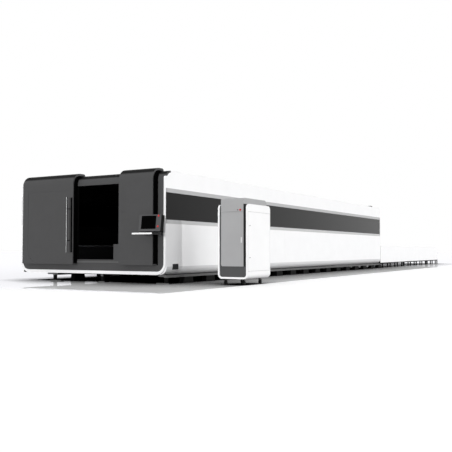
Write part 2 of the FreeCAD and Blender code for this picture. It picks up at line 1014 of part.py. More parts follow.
def wall_knuckles():
    """On the wall: each hinge's plate, lower knuckle and pin."""
    solids = []
    for level in hinge_levels():
        high = level + s.hinge_length
        plate_low = (hinge_line + 1, housing_left, level)
        plate_high = (hinge_line + s.hinge_plate, housing_left + s.seam_gap, high)
        solids.append(block(plate_low, plate_high))
        solids.append(rod((hinge_line, hinge_side, level), "Z", s.hinge_length, s.hinge_radius))
        pin_length = s.hinge_length * 2 - s.seam_gap
        solids.append(rod((hinge_line, hinge_side, level), "Z", pin_length, s.hinge_radius / 2))
    return solids


def door_knuckles():
    """On the door: each hinge's plate and upper knuckle, bored for the wall's pin."""
    solids = []
    for level in hinge_levels():
        low = level + s.hinge_length + s.rest_gap
        high = level + s.hinge_length * 2
        plate_low = (hinge_line - s.hinge_plate, housing_left - 1, low)
        plate = block(plate_low, (hinge_line - 1, housing_left + s.seam_gap, high))
        knuckle = rod((hinge_line, hinge_side, low), "Z", high - low, s.hinge_radius)
        bore_radius = s.hinge_radius / 2 + s.pin_gap
        bore = rod((hinge_line, hinge_side, low - 1), "Z", high - low, bore_radius)
        solids.append(cut(fuse(plate, knuckle), bore))
    return solids


def make_service_door():
    gap = s.seam_gap
    end = s.service_start + s.service_width
    leaf_low = (s.service_start + gap, inner_left, s.service_low + gap)
    leaf_high = (end - gap, housing_left, s.service_high - gap)
    leaf = block(leaf_low, leaf_high)
    side = s.service_start + s.bar_inset
    axis = housing_left + s.bar_reach
    bar = rod((side, axis, s.bar_low), "Z", s.bar_high - s.bar_low, s.bar_radius)
    stems = [
        rod((side, housing_left - gap, level), "Y", s.bar_reach + gap, s.bar_radius * 0.7)
        for level in (s.bar_low + s.bar_reach, s.bar_high - s.bar_reach)
    ]
    piece("service_door", fuse(leaf, bar, *stems, *door_knuckles()))


# ---------------------------------------------------------------- base frame, feet and bed
base_low = s.rim_low - s.base_height
base_last = s.foot_lead + s.foot_pitch * (s.foot_columns - 1)
base_end = base_last + s.base_beam / 2


def foot_body(side):
    """The first foot of a row: a flat pad under a tapered, flat-sided block."""
    body = new_body()
    half = s.foot_length / 2
    top = s.foot_top / 2
    outline = [
        (s.foot_lead - half, 0),
        (s.foot_lead + half, 0),
        (s.foot_lead + half, s.foot_pad),
        (s.foot_lead + top, base_low),
        (s.foot_lead - top, base_low),
        (s.foot_lead - half, s.foot_pad),
    ]
    reach = s.foot_width / 2
    foot = pad(body, "XZ", side - reach, side + reach, outline)
    return body, foot


def make_base():
    half = s.base_beam / 2
    left_low = s.base_left - s.base_beam
    members = [
        block((0 - half, 0 - half, base_low), (base_end, half, s.rim_low)),
        block((0 - half, left_low, base_low), (base_end, s.base_left, s.rim_low)),
    ]
    for along in spread(s.foot_lead, base_last, COUNTS["base_crosses"]):
        low = (along - half, half, base_low)
        members.append(block(low, (along + half, left_low, s.rim_low)))
    spur_low = (0 - half, s.middle_foot - half, base_low)
    members.append(block(spur_low, (s.foot_lead - half, s.middle_foot + half, s.rim_low)))
    brackets = (
        (half, s.bracket_reach),
        (left_low - s.base_beam, left_low),
        (s.base_left, s.base_left + s.outrigger),
    )
    for low_y, high_y in brackets:
        members.append(block((0 - half, low_y, base_low + half / 2), (half, high_y, s.rim_low)))
    piece("base_beams", group(members))


def front_foot(side, right, left):
    """A post on a wide pad, at the front of the base."""
    long = s.pad_length / 2
    post = s.foot_post / 2
    return [
        block((0 - long, right, 0), (long, left, s.foot_pad)),
        block((0 - post, side - post, s.foot_pad), (post, side + post, base_low)),
    ]


def make_feet():
    """Three posts across the front, and a row of long feet under each long beam."""
    right_row = as_size(0)
    left_row = s.base_left - s.base_beam / 2
    solids = front_foot(right_row, right_row - s.pad_outside, right_row + s.pad_inside)
    solids += front_foot(left_row, left_row - s.pad_inside, left_row + s.pad_outside)
    reach = s.foot_post * 1.3
    solids += front_foot(s.middle_foot, s.middle_foot - reach, s.middle_foot + reach)
    for side in (right_row, left_row):
        body, foot = foot_body(side)
        pattern(body, foot, "H", base_last - s.foot_lead, s.foot_columns)
        solids.append(body)
    piece("machine_feet", group(solids))


def bed_sides():
    """Inner and outer Y of the right and the left bed side."""
    return (
        (s.bed_middle - s.bed_outer, s.bed_middle - s.bed_inner),
        (s.bed_middle + s.bed_inner, s.bed_middle + s.bed_outer),
    )


def make_bed():
    """Two deep box sides with lightening windows, tied by cross tubes, with pallet ledges."""
    sides = []
    window_low = s.rim_low + s.bed_tube * 1.6
    window_high = s.ledge_top - s.bed_tube * 0.8
    pitch = (s.bed_end - s.bed_start) / s.bed_windows
    first = s.bed_start + pitch / 2 - s.bed_window
    for low, high in bed_sides():
        body = new_body()
        pad(body, "XZ", low, high, rectangle(s.bed_start, s.rim_low, s.bed_end, s.bed_top))
        wide = first + s.bed_window * 2
        outline = chamfered(first, window_low, wide, window_high, s.bed_tube / 3)
        hole = pocket(body, "XZ", low - 1, high + 1, outline)
        pattern(body, hole, "H", pitch * (s.bed_windows - 1), s.bed_windows)
        sides.append(body)
    (_, right), (left, _) = bed_sides()
    edge = s.bed_tube
    tubes = [
        block((along, right - 1, s.rim_low), (along + edge, left + 1, s.rim_low + edge))
        for along in spread(s.bed_start + edge, s.bed_end - edge * 2, COUNTS["bed_crosses"])
    ]
    floor = s.ledge_top - s.ledge_thick
    ledges = [
        block((s.ledge_start, right - 1, floor), (s.bed_end, right + s.ledge_width, s.ledge_top)),
        block((s.ledge_start, left - s.ledge_width, floor), (s.bed_end, left + 1, s.ledge_top)),
    ]
    piece("bed_frame", fuse(*sides, *tubes, *ledges))


def make_guides():
    """Each side has a guide rail on top of the bed and a rack bar beside it."""
    solids = []
    rail = s.guide_rail_width
    for low, high in bed_sides():
        middle = (low + high) / 2
        rail_low = (s.bed_start + rail, middle - rail / 2, s.bed_top)
        rail_high = (s.bed_end - rail, middle + rail / 2, s.bed_top + s.guide_rail_height)
        rack_low = (s.bed_start + rail, middle + rail * 0.8, s.bed_top)
        rack_high = (s.bed_end - rail, middle + rail * 1.3, s.bed_top + s.guide_rail_height)
        solids += [block(rail_low, rail_high), block(rack_low, rack_high)]
    piece("x_guides", group(solids))


# ---------------------------------------------------------------- gantry
truck_low = s.bed_top + s.guide_rail_height + s.rest_gap
truck_top = truck_low + s.truck_height
beam_front = s.gantry_start + (s.truck_length - s.beam_depth) / 2
beam_back = beam_front + s.beam_depth
beam_top = truck_top + s.beam_height


def make_gantry():
    trucks = []
    for low, high in bed_sides():
        near = (s.gantry_start, low + s.ledge_thick, truck_low)
        far = (s.gantry_start + s.truck_length, high - s.ledge_thick, truck_top)
        middle = (low + high) / 2
        motor_place = (s.gantry_start - s.head_radius * 1.3, middle, truck_low)
        motor = rod(motor_place, "Z", s.truck_height * 2.2, s.head_radius * 1.1)
        flange_low = (s.gantry_start - s.head_radius * 2, middle - s.head_radius, truck_low)
        flange_high = (s.gantry_start + 1, middle + s.head_radius, truck_low + s.ledge_thick)
        trucks.append(fuse(block(near, far), motor, block(flange_low, flange_high)))
    piece("gantry_trucks", group(trucks))
    body = new_body()
    right = s.bed_middle - s.bed_outer + s.ledge_thick
    left = s.bed_middle + s.bed_outer - s.ledge_thick
    haunch = s.beam_height * 0.35
    flat = s.bed_outer - s.bed_inner + s.ledge_width
    front_view = [
        (right, truck_top),
        (right + flat, truck_top),
        (right + flat * 1.4, truck_top + haunch * 0.4),
        (left - flat * 1.4, truck_top + haunch * 0.4),
        (left - flat, truck_top),
        (left, truck_top),
        (left, beam_top - haunch),
        (left - flat, beam_top),
        (right + flat, beam_top),
        (right, beam_top - haunch),
    ]
    pad(body, "YZ", beam_front, beam_back, front_view)
    skin = s.beam_skin
    windows = 6
    bay = (left - right - flat * 3) / windows
    start = right + flat * 1.5
    low = truck_top + haunch * 0.4 + skin * 2
    high = beam_top - skin * 3
    outline = chamfered(start, low, start + bay - skin * 2, high, skin * 2)
    hole = pocket(body, "YZ", beam_front - 1, beam_back - skin, outline)
    pattern(body, hole, "H", bay * (windows - 1), windows)
    piece("gantry_beam", body)


saddle_front = beam_back + s.rest_gap
slide_front = saddle_front + s.saddle_thick


def make_head():
    half = s.saddle_width / 2
    side = s.bed_middle
    saddle_low = truck_top + s.beam_height * 0.25
    low = (saddle_front, side - half, saddle_low)
    high = (saddle_front + s.saddle_thick, side + half, beam_top + s.beam_skin)
    cover_low = (saddle_front - s.beam_depth * 0.5, side - half, beam_top + s.rest_gap)
    saddle = fuse(block(low, high), block(cover_low, (saddle_front + 1, side + half, high[2])))
    piece("y_saddle", saddle)
    edge = s.slide_width / 2
    slide_low = (slide_front + s.rest_gap, side - edge, s.nozzle_tip + s.head_radius * 3)
    slide_high = (slide_front + s.slide_thick, side + edge, beam_top + s.beam_height * 0.5)
    piece("z_slide", block(slide_low, slide_high))
    body = new_body()
    tip = s.nozzle_tip
    radius = s.head_radius
    outline = [
        (0, 0),
        (0, radius * 0.08),
        (radius * 0.5, radius * 0.35),
        (radius * 0.9, radius * 0.35),
        (radius * 1.1, radius * 0.8),
        (radius * 2.6, radius * 0.8),
        (radius * 2.8, radius),
        (radius * 6.5, radius),
        (radius * 6.5, 0),
    ]
    revolve(body, outline)
    body.Placement.Rotation = FreeCAD.Rotation(VECTOR(0, 1, 0), -90)
    face = slide_front + s.slide_thick
    place_body(body, face + radius, side, tip)
    clamp_low = (face, side - radius * 0.8, tip + radius * 4)
    clamp_high = (face + radius, side + radius * 0.8, tip + radius * 5.6)
    piece("cutting_head", fuse(body, block(clamp_low, clamp_high)))


# ---------------------------------------------------------------- slatted pallets
def pallet_level(tier):
    return s.ledge_top + s.rest_gap + s.wheel_radius + s.tier_step * tier


def make_pallet(letter, start, tier):
    """A frame with wheels along both sides, and upright slats across it."""
    right = s.bed_middle - s.pallet_half
    left = s.bed_middle + s.pallet_half
    axle = pallet_level(tier)
    low = axle - s.pallet_beam_height / 2 + s.ledge_thick
    high = low + s.pallet_beam_height
    beam = s.pallet_beam
    end = start + s.pallet_length
    members = [
        block((start, right, low), (end, right + beam, high)),
        block((start, left - beam, low), (end, left, high)),
    ]
    for along in spread(start, end - beam, COUNTS["pallet_crosses"]):
        members.append(block((along, right + beam, low), (along + beam, left - beam, high)))
    margin = beam * 2
    for along in spread(start + margin, end - margin, COUNTS["pallet_wheels"]):
        place = right - s.wheel_width
        members.append(rod((along, place, axle), "Y", s.wheel_width, s.wheel_radius))
        members.append(rod((along, left, axle), "Y", s.wheel_width, s.wheel_radius))
    piece(f"pallet_{letter}_frame", group(members))
    body = new_body()
    strip = rectangle(right, high, left, high + s.slat_height)
    first = start + beam / 2
    slat = pad(body, "YZ", first, first + s.slat_thick, strip)
    pattern(body, slat, "N", s.pallet_length - beam - s.slat_thick, s.slats)
    piece(f"pallet_{letter}_slats", body)


# ---------------------------------------------------------------- exchange table
leg_last = s.table_end - s.leg_size / 2
leg_first = s.table_start + s.leg_lead
legs_apart = (leg_last - leg_first) / (s.table_legs - 1)


def table_leg(end, low_y, high_y, top):
    """The two posts of an upside-down U, from the floor to the long beam."""
    start = end - s.leg_span
    size = s.leg_size
    return [
        block((start, low_y, 0), (start + size, high_y, top)),
        block((end - size, low_y, 0), (end, high_y, top)),
    ]


def make_table_frame():
    """Two long beams on pairs of posts, tied across, reaching back to the machine's base."""
    right_high = s.table_right + s.leg_size
    left_low = s.table_left - s.leg_size
    members = []
    places = spread(leg_first, leg_last, COUNTS["table_legs"])
    beam_low = s.table_low - s.leg_bar
    for low_y, high_y in ((s.table_right, right_high), (left_low, s.table_left)):
        members.append(block((base_end, low_y, beam_low), (leg_last, high_y, s.table_low)))
        for along in places:
            members += table_leg(along, low_y, high_y, beam_low)
    for along in places:
        low = (along - s.leg_size, right_high, beam_low)
        members.append(block(low, (along, left_low, s.table_low)))
    piece("table_frame", group(members))


def make_table_panels():
    skin = s.table_skin
    right = block(
        (s.table_start, s.table_right, s.table_low), (s.table_end, s.table_right + skin, s.table_top)
    )
    left = block(
        (s.table_start, s.table_left - skin, s.table_low), (s.table_end, s.table_left, s.table_top)
    )
    end = block(
        (s.table_end - skin, s.table_right + skin, s.table_low),
        (s.table_end, s.table_left - skin, s.table_top),
    )
    piece("table_panels", group([right, left, end]))


def jack_places():
    """The lift's jacks stand under its two side walls, each against a cross beam of the table."""
    start = leg_first + s.jack_collar
    end = start + legs_apart * (s.table_legs - 2)
    lines = (
        s.bed_middle - s.bed_inner - s.lift_wall / 2,
        s.bed_middle + s.bed_inner + s.lift_wall / 2,
    )
    return [(along, side) for along in spread(start, end, COUNTS["jacks"]) for side in lines]


def make_lift():
    """Two side walls with a ledge for each pallet tier, tied by cross tubes, on jack rods."""
    inner_low = s.bed_middle - s.bed_inner
    inner_high = s.bed_middle + s.bed_inner
    end = s.table_end - s.table_skin - s.lift_tube
    members = [
        block((s.lift_start, inner_low - s.lift_wall, s.lift_low), (end, inner_low, s.lift_top)),
        block((s.lift_start, inner_high, s.lift_low), (end, inner_high + s.lift_wall, s.lift_top)),
    ]
    for tier in (0, 1):
        top = s.ledge_top + s.tier_step * tier
        low = top - s.ledge_thick
        right_ledge = (end, inner_low + s.ledge_width, top)
        left_ledge = (end, inner_high, top)
        members.append(block((s.lift_start, inner_low, low), right_ledge))
        members.append(block((s.lift_start, inner_high - s.ledge_width, low), left_ledge))
    tube = s.lift_tube
    for along in spread(s.lift_start, end - tube, COUNTS["lift_crosses"]):
        low = (along, inner_low, s.lift_low)
        members.append(block(low, (along + tube, inner_high, s.lift_low + tube)))
    for along, side in jack_places():
        members.append(rod((along, side, s.rod_low), "Z", s.lift_low - s.rod_low, s.rod_radius))
    piece("lift_frame", group(members))


def make_jacks():
    """Jack tubes on the floor, each with a square foot and a bore for its rod."""
    jacks = []
    top = s.lift_low - s.tier_step - s.ledge_thick
    half = s.jack_half * 1.5
    collar = s.jack_collar
    for along, side in jack_places():
        foot = block((along - half, side - half, 0), (along + half, side + half, s.foot_pad))
        tube_low = (along - s.jack_half, side - s.jack_half, s.foot_pad)
        tube = block(tube_low, (along + s.jack_half, side + s.jack_half, top))
        collar_low = (along - collar, side - collar, s.table_low - s.leg_bar)
        block_collar = block(collar_low, (along + collar, side + collar, top))
        bore = rod((along, side, s.foot_pad), "Z", top, s.rod_radius + s.pin_gap)
        jacks.append(cut(fuse(foot, tube, block_collar), bore))
    piece("lift_jacks", group(jacks))


# ---------------------------------------------------------------- operator console
tilt_sine = Size(math.sin(math.radians(SIZES["console_tilt"])), "sin(Sizes.console_tilt)")
tilt_cosine = Size(math.cos(math.radians(SIZES["console_tilt"])), "cos(Sizes.console_tilt)")


def tilted(solid, x, y, z):
    """Puts a solid made in the console's own upright frame into its leaning place."""
    solid.Placement.Rotation = FreeCAD.Rotation(VECTOR(0, 1, 0), SIZES["console_tilt"])
    bind(solid, "Placement.Rotation.Angle", s.console_tilt)
    place_body(solid, x, y, z)


def console_point(inward, aside, up):
    """Where a point of the console's own frame lies when the console leans back."""
    x = s.console_front + inward * tilt_cosine + up * tilt_sine
    z = s.console_low - inward * tilt_sine + up * tilt_cosine
    return x, s.console_right + aside, z


def make_console():
    body = new_body()
    curve = s.console_curve
    face = rounded(as_size(0), as_size(0), s.console_width, s.console_height, curve, curve)
    pad(body, "YZ", 0, s.console_depth, face)
    recess = rectangle(
        s.screen_right,
        s.screen_low,
        s.screen_right + s.screen_width,
        s.screen_low + s.screen_height,
    )
    pocket(body, "YZ", -1, s.screen_recess, recess)
    hole = s.stop_stem + s.pin_gap
    depth = s.stop_stem_length + s.stop_travel + 2
    tools = [
        rod((-1, s.stop_side, level), "X", depth + 1, hole) for level in (s.stop_upper, s.stop_lower)
    ]
    shell = cut(body, fuse(*tools))
    tilted(shell, s.console_front, s.console_right, s.console_low)
    post = rod((s.arm_post, s.arm_side, s.arm_low), "Z", s.console_low - s.arm_low, s.arm_pin)
    collar_low = s.arm_high + s.rest_gap
    collar = rod(
        (s.arm_post, s.arm_side, collar_low), "Z", s.console_low - collar_low, s.arm_barrel
    )
    piece("console_box", fuse(shell, post, collar))
    edge = s.rest_gap
    screen = block(
        (s.screen_recess - 4, s.screen_right + edge, s.screen_low + edge),
        (
            s.screen_recess,
            s.screen_right + s.screen_width - edge,
            s.screen_low + s.screen_height - edge,
        ),
    )
    lean = doc.addObject("Part::Compound", "Screen")
    lean.Links = [screen]
    tilted(lean, s.console_front, s.console_right, s.console_low)
    piece("console_screen", lean)
    for label, level in (("console_stop_upper", s.stop_upper), ("console_stop_lower", s.stop_lower)):
        button = push_button(label, s.stop_head, s.stop_cap, s.stop_stem, s.stop_stem_length)
        tilted(button, *console_point(as_size(0), s.stop_side, level))


def make_tray():
    body = new_body()
    tray = rectangle(s.tray_front, s.tray_right, s.tray_back, s.tray_left)
    pad(body, "XY", s.tray_low, s.tray_high, tray)
    wall = s.tray_wall
    inside = rectangle(
        s.tray_front + wall, s.tray_right + wall, s.tray_back - wall, s.tray_left - wall
    )
    pocket(body, "XY", s.tray_low + s.tray_floor, s.tray_high + 1, inside)
    brackets = []
    reach = s.tray_back - s.console_front
    for aside in (s.console_width * 0.35, s.console_width * 0.65):
        drop = s.tray_high - s.console_low - s.tray_floor
        bar = block((2, aside, drop), (reach, aside + s.console_curve * 2, 0))
        lean = doc.addObject("Part::Compound", "Bracket")
        lean.Links = [bar]
        tilted(lean, s.console_front, s.console_right, s.console_low)
        brackets.append(lean)
    piece("keyboard_tray", fuse(body, *brackets))


def make_arm():
    ear = s.ear_thick
    gap = s.rest_gap
    half = s.arm_width / 2
    plate = block(
        (s.housing_front - ear / 2, s.arm_side - half * 1.4, s.arm_low - ear * 1.5),
        (s.housing_front, s.arm_side + half * 1.4, s.arm_high + ear * 1.5),
    )
    ears = []
    for low in (s.arm_low - ear - gap, s.arm_high + gap):
        near = (s.arm_pivot, s.arm_side - half, low)
        far = (s.housing_front - ear / 2 + 1, s.arm_side + half, low + ear)
        ears.append(block(near, far))
        ears.append(rod((s.arm_pivot, s.arm_side, low), "Z", ear, s.arm_barrel))
    pin_low = s.arm_low - ear - gap
    pin = rod((s.arm_pivot, s.arm_side, pin_low), "Z", s.arm_high - pin_low + ear, s.arm_pin)
    piece("console_bracket", fuse(plate, *ears, pin))
    height = s.arm_high - s.arm_low
    bar = block(
        (s.arm_post, s.arm_side - half * 0.8, s.arm_low),
        (s.arm_pivot, s.arm_side + half * 0.8, s.arm_high),
    )
    barrels = [
        rod((along, s.arm_side, s.arm_low), "Z", height, s.arm_barrel)
        for along in (s.arm_post, s.arm_pivot)
    ]
    holes = [
        rod((along, s.arm_side, s.arm_low - 1), "Z", height + 2, s.arm_pin + s.pin_gap)
        for along in (s.arm_post, s.arm_pivot)
    ]
    piece("console_arm", cut(fuse(bar, *barrels), fuse(*holes)))


# ---------------------------------------------------------------- laser and electrical cabinet
cabinet_left = s.cabinet_right + s.cabinet_width
cabinet_back = s.cabinet_front + s.cabinet_length
core_right = s.cabinet_right + s.cabinet_shell
core_left = cabinet_left - s.cabinet_shell
core_low = s.cabinet_low + s.cabinet_shell
core_front = s.cabinet_front + s.core_recess
core_top = s.cabinet_shell_top - s.core_recess
spine_right = s.cabinet_right + s.spine_margin
spine_left = cabinet_left - s.spine_margin
pivot_inset = s.door_thick / 2
pivot_along = s.cabinet_front - s.door_proud + pivot_inset
pivot_side = spine_left - pivot_inset


def make_cabinet_shell():
    """The white U: two sides and a floor from one rounded section, its sides rounded on top."""
    body = new_body()
    wall = s.cabinet_shell
    inner = s.cabinet_corner - wall
    high = s.cabinet_shell_top
    section = [
        (s.cabinet_right, high),
        (s.cabinet_right, s.cabinet_low + s.cabinet_corner),
        (s.cabinet_right + s.cabinet_corner, s.cabinet_low, s.cabinet_corner, 1),
        (cabinet_left - s.cabinet_corner, s.cabinet_low),
        (cabinet_left, s.cabinet_low + s.cabinet_corner, s.cabinet_corner, 1),
        (cabinet_left, high),
        (core_left, high),
        (core_left, core_low + inner),
        (core_left - inner, core_low, inner, -1),
        (core_right + inner, core_low),
        (core_right, core_low + inner, inner, -1),
        (core_right, high),
    ]
    pad(body, "YZ", s.cabinet_front, cabinet_back, section)
    curve = s.cabinet_top_curve
    over = high + curve
    front_corner = [
        (s.cabinet_front - curve, high - curve),
        (s.cabinet_front, high - curve),
        (s.cabinet_front + curve, high, curve, -1),
        (s.cabinet_front + curve, over),
        (s.cabinet_front - curve, over),
    ]
    back_corner = [
        (cabinet_back + curve, high - curve),
        (cabinet_back + curve, over),
        (cabinet_back - curve, over),
        (cabinet_back - curve, high),
        (cabinet_back, high - curve, curve, -1),
    ]
    pocket(body, "XZ", s.cabinet_right - 1, cabinet_left + 1, front_corner, back_corner)
    bite = side_panel_outline(0)
    thick = s.door_thick
    pocket(body, "XZ", s.cabinet_right - 1, s.cabinet_right + thick, bite)
    pocket(body, "XZ", cabinet_left - thick, cabinet_left + 1, bite)
    piece("cabinet_shell", body)


def side_panel_outline(gap):
    inset = s.side_seam_inset + gap
    return rectangle(
        s.cabinet_front + inset,
        s.side_seam_low + gap,
        cabinet_back - inset,
        s.side_seam_high - gap,
    )


def make_side_panels():
    """Lift-off panels let into the two sides."""
    panels = []
    for low, high in (
        (s.cabinet_right, s.cabinet_right + s.door_thick),
        (cabinet_left - s.door_thick, cabinet_left),
    ):
        body = new_body()
        pad(body, "XZ", low, high, side_panel_outline(2))
        panels.append(body)
    piece("cabinet_side_panels", group(panels))


def make_cabinet_core():
    """The dark inner case: closed all round but for the doorway in its front."""
    body = new_body()
    corner = s.cabinet_corner - s.cabinet_shell
    case = rounded(core_right, core_low, core_left, core_top, corner)
    back = cabinet_back - s.core_recess
    pad(body, "YZ", core_front, back, case)
    wall = s.core_wall
    inside = rectangle(core_right + wall, core_low + wall * 2, core_left - wall, core_top - wall)
    pocket(body, "YZ", core_front + wall, back - wall, inside)
    doorway = rectangle(
        spine_right + wall, s.door_low + wall, spine_left - wall, s.door_high - wall
    )
    pocket(body, "YZ", core_front - 1, core_front + wall + 1, doorway)
    shelf_top = s.door_low - s.door_seam
    shelf = block(
        (s.cabinet_front, pivot_side - pivot_inset, shelf_top - s.pivot_pin * 2),
        (core_front + 1, spine_left, shelf_top),
    )
    pin = rod((pivot_along, pivot_side, shelf_top - 1), "Z", s.pivot_depth, s.pivot_pin)
    piece("cabinet_core", fuse(body, shelf, pin))


def make_spine():
    """The grey band: down the front to the door's top edge, and over the roof to the back."""
    body = new_body()
    front = s.cabinet_front - s.door_proud
    curve = s.spine_curve
    back = cabinet_back - s.core_recess
    side_view = [
        (front, s.door_high + s.door_seam),
        (core_front, s.door_high + s.door_seam),
        (core_front, core_top),
        (back, core_top),
        (back, s.cabinet_top - s.spine_slope),
        (back - s.spine_slope, s.cabinet_top),
        (front + curve, s.cabinet_top),
        (front, s.cabinet_top - curve, curve, 1),
    ]
    pad(body, "XZ", spine_right, spine_left, side_view)
    wall = s.core_wall
    hollow = rectangle(
        core_front + wall, spine_right + wall, back - s.spine_slope, spine_left - wall
    )
    pocket(body, "XY", core_top - 1, s.cabinet_top - wall, hollow)
    hole = s.stop_stem + s.pin_gap
    depth = s.stop_stem_length + s.stop_travel + 2
    tools = [
        rod((front - 1, side, s.button_level), "X", depth, hole)
        for side in (s.cabinet_stop_side, s.cabinet_button_side)
    ]
    pin_low = s.door_high + s.door_seam + 1 - s.pivot_depth
    pin = rod((pivot_along, pivot_side, pin_low), "Z", s.pivot_depth, s.pivot_pin)
    piece("cabinet_spine", fuse(cut(body, fuse(*tools)), pin))


def make_cabinet_door():
    body = new_body()
    front = s.cabinet_front - s.door_proud
    face = rounded(spine_right, s.door_low, spine_left, s.door_high, s.door_corner)
    pad(body, "YZ", front, front + s.door_thick, face)
    hole = s.stop_stem + s.pin_gap
    bore = rod((front - 1, s.latch_side, s.latch_level), "X", s.door_thick - 3, hole)
    pivot_hole = s.pivot_pin + s.pin_gap
    sockets = [
        rod((pivot_along, pivot_side, level), "Z", s.pivot_depth, pivot_hole)
        for level in (s.door_low - 1, s.door_high + 1 - s.pivot_depth)
    ]
    piece("cabinet_door", cut(body, fuse(bore, *sockets)))
    half = s.latch_width / 2
    grip = new_body()
    low = s.latch_level - s.latch_length + half
    pad(
        grip,
        "YZ",
        front - s.latch_thick - s.rest_gap,
        front - s.rest_gap,
        rounded(
            s.latch_side - half, low, s.latch_side + half, s.latch_level + half, half - 1, half - 1
        ),
    )
    stem = rod(
        (front - s.latch_thick / 2, s.latch_side, s.latch_level),
        "X",
        s.latch_thick / 2 + s.door_thick - 6,
        s.stop_stem,
    )
    piece("cabinet_latch", fuse(grip, stem))
    stop = push_button(
        "cabinet_stop", s.stop_head, s.stop_cap, s.stop_stem, s.stop_stem_length
    )
    place_body(stop, front, s.cabinet_stop_side, s.button_level)
    button = push_button(
        "cabinet_button", s.button_radius, s.stop_cap / 2, s.stop_stem, s.stop_stem_length
    )
    place_body(button, front, s.cabinet_button_side, s.button_level)


def make_laser_source():
    """The rack-mounted laser source inside the cabinet, on the floor of the case."""
    floor = core_low + s.core_wall * 2
    margin = s.core_wall * 2
    low = (core_front + s.core_wall * 11, core_right + margin, floor)
    high = (cabinet_back - s.core_recess - margin, core_left - margin, s.cabinet_shell_top * 0.55)
    piece("laser_source", block(low, high))


def make_casters():
    front = s.cabinet_front + s.caster_front
    rear = cabinet_back - s.caster_rear
    right = s.cabinet_right + s.caster_side
    left = cabinet_left - s.caster_side
    half = s.caster_width / 2
    top = s.cabinet_low - s.rest_gap
    corners = {
        "front_right": (front, right),
        "front_left": (front, left),
        "rear_right": (rear, right),
        "rear_left": (rear, left),
    }
    for corner, (along, side) in corners.items():
        axle = along + s.caster_trail
        crown = s.caster_radius * 2 + s.fork_thick
        cheek = half + s.rest_gap * 5
        width = s.caster_radius * 0.4
        parts = [
            block((axle - width, side + cheek, s.caster_radius - width),
                  (axle + width, side + cheek + s.fork_thick, crown + 1)),
            block((axle - width, side - cheek - s.fork_thick, s.caster_radius - width),
                  (axle + width, side - cheek, crown + 1)),
            block((along - width, side - cheek - s.fork_thick, crown),
                  (axle + width, side + cheek + s.fork_thick, crown + s.fork_thick * 2)),
            block((along - width, side - width, crown + 1), (along + width, side + width, top)),
            rod((axle, side - cheek - 1, s.caster_radius), "Y", cheek * 2 + 2, s.axle_radius),
        ]
        piece(f"caster_fork_{corner}", fuse(*parts))
        wheel = rod((axle, side - half, s.caster_radius), "Y", s.caster_width, s.caster_radius)
        bore = rod(
            (axle, side - half - 1, s.caster_radius), "Y", s.caster_width + 2, s.axle_radius + s.pin_gap
        )
        piece(f"caster_wheel_{corner}", cut(wheel, bore))


def build():
    make_front_rim()
    make_fascia()
    make_right_wall()
    make_left_wall()
    make_window("right_window", same_side, front_back)
    make_window("left_window", far_side, s.bay_end)
    make_roof()
    make_rear_portal()
    make_side_vent()
    make_exhaust_flange()
    make_door()
    make_door_handle()
    make_cover()
    make_track()
    make_rollers()
    make_cycle_button()
    make_service_door()
    make_base()
    make_feet()
    make_bed()
    make_guides()
    make_gantry()
    make_head()
    make_pallet("a", s.pallet_start, 0)
    make_pallet("b", s.pallet_start + s.pallet_shift, 1)
    make_table_frame()
    make_table_panels()
    make_lift()
    make_jacks()
    make_console()
    make_tray()
    make_arm()
    make_cabinet_shell()
    make_side_panels()
    make_cabinet_core()
    make_spine()
    make_cabinet_door()
    make_laser_source()
    make_casters()
    doc.recompute()


def check():
    """Stops on a failed object, an empty or bad shape, or a cut that removed nothing."""
    for thing in doc.Objects:
        if "Invalid" in thing.State or "Error" in thing.State:
            raise RuntimeError(f"{thing.Label} failed: {thing.State}")
    for feature, base in CUTS:
        if feature.Shape.Volume > base.Shape.Volume - 0.1:
            raise RuntimeError(f"{feature.Label} of {feature.InListRecursive[-1].Label} cuts nothing")
    for label, solid in PIECES.items():
        if solid.Shape.isNull() or not solid.Shape.isValid() or not solid.Shape.Solids:
            raise RuntimeError(f"{label} has a bad shape")


build()
check()
os.makedirs("parts", exist_ok=True)
for label, solid in PIECES.items():
    solid.Shape.exportStep(f"parts/{label}.step")
print(len(PIECES), "pieces written")
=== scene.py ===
import json
import math

import bmesh
import bpy
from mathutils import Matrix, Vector


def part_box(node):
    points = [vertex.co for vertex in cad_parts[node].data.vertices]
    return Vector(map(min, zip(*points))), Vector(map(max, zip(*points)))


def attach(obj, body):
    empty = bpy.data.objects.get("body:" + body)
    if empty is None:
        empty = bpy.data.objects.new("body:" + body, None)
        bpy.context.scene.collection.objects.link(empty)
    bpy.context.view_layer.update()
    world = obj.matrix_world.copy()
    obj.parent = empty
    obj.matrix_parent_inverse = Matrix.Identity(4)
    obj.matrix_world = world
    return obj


# Looks of the fiber laser cutting machine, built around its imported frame. Metres, +X along the
# machine, +Y to its left, +Z up, as in the frame.

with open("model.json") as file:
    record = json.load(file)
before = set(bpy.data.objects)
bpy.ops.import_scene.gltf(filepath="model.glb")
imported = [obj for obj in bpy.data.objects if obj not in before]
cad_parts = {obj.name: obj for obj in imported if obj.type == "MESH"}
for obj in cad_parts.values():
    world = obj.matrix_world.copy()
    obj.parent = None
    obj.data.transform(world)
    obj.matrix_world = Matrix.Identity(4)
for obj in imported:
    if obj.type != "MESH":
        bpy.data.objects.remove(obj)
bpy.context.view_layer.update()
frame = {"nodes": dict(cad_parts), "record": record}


# ---------------------------------------------------------------- node helpers
# Most of a noise lies between these two, so that part is drawn out to the whole range.
NOISE_LOW, NOISE_HIGH = 0.3, 0.7
NOISE_ROUGHNESS = 0.55
FINE_DETAIL, PLAIN_DETAIL, BROAD_DETAIL = 2.0, 3.0, 4.0
# The sockets that a Mix node has for colours
FIRST_COLOUR, SECOND_COLOUR, MIXED_COLOUR = 6, 7, 2


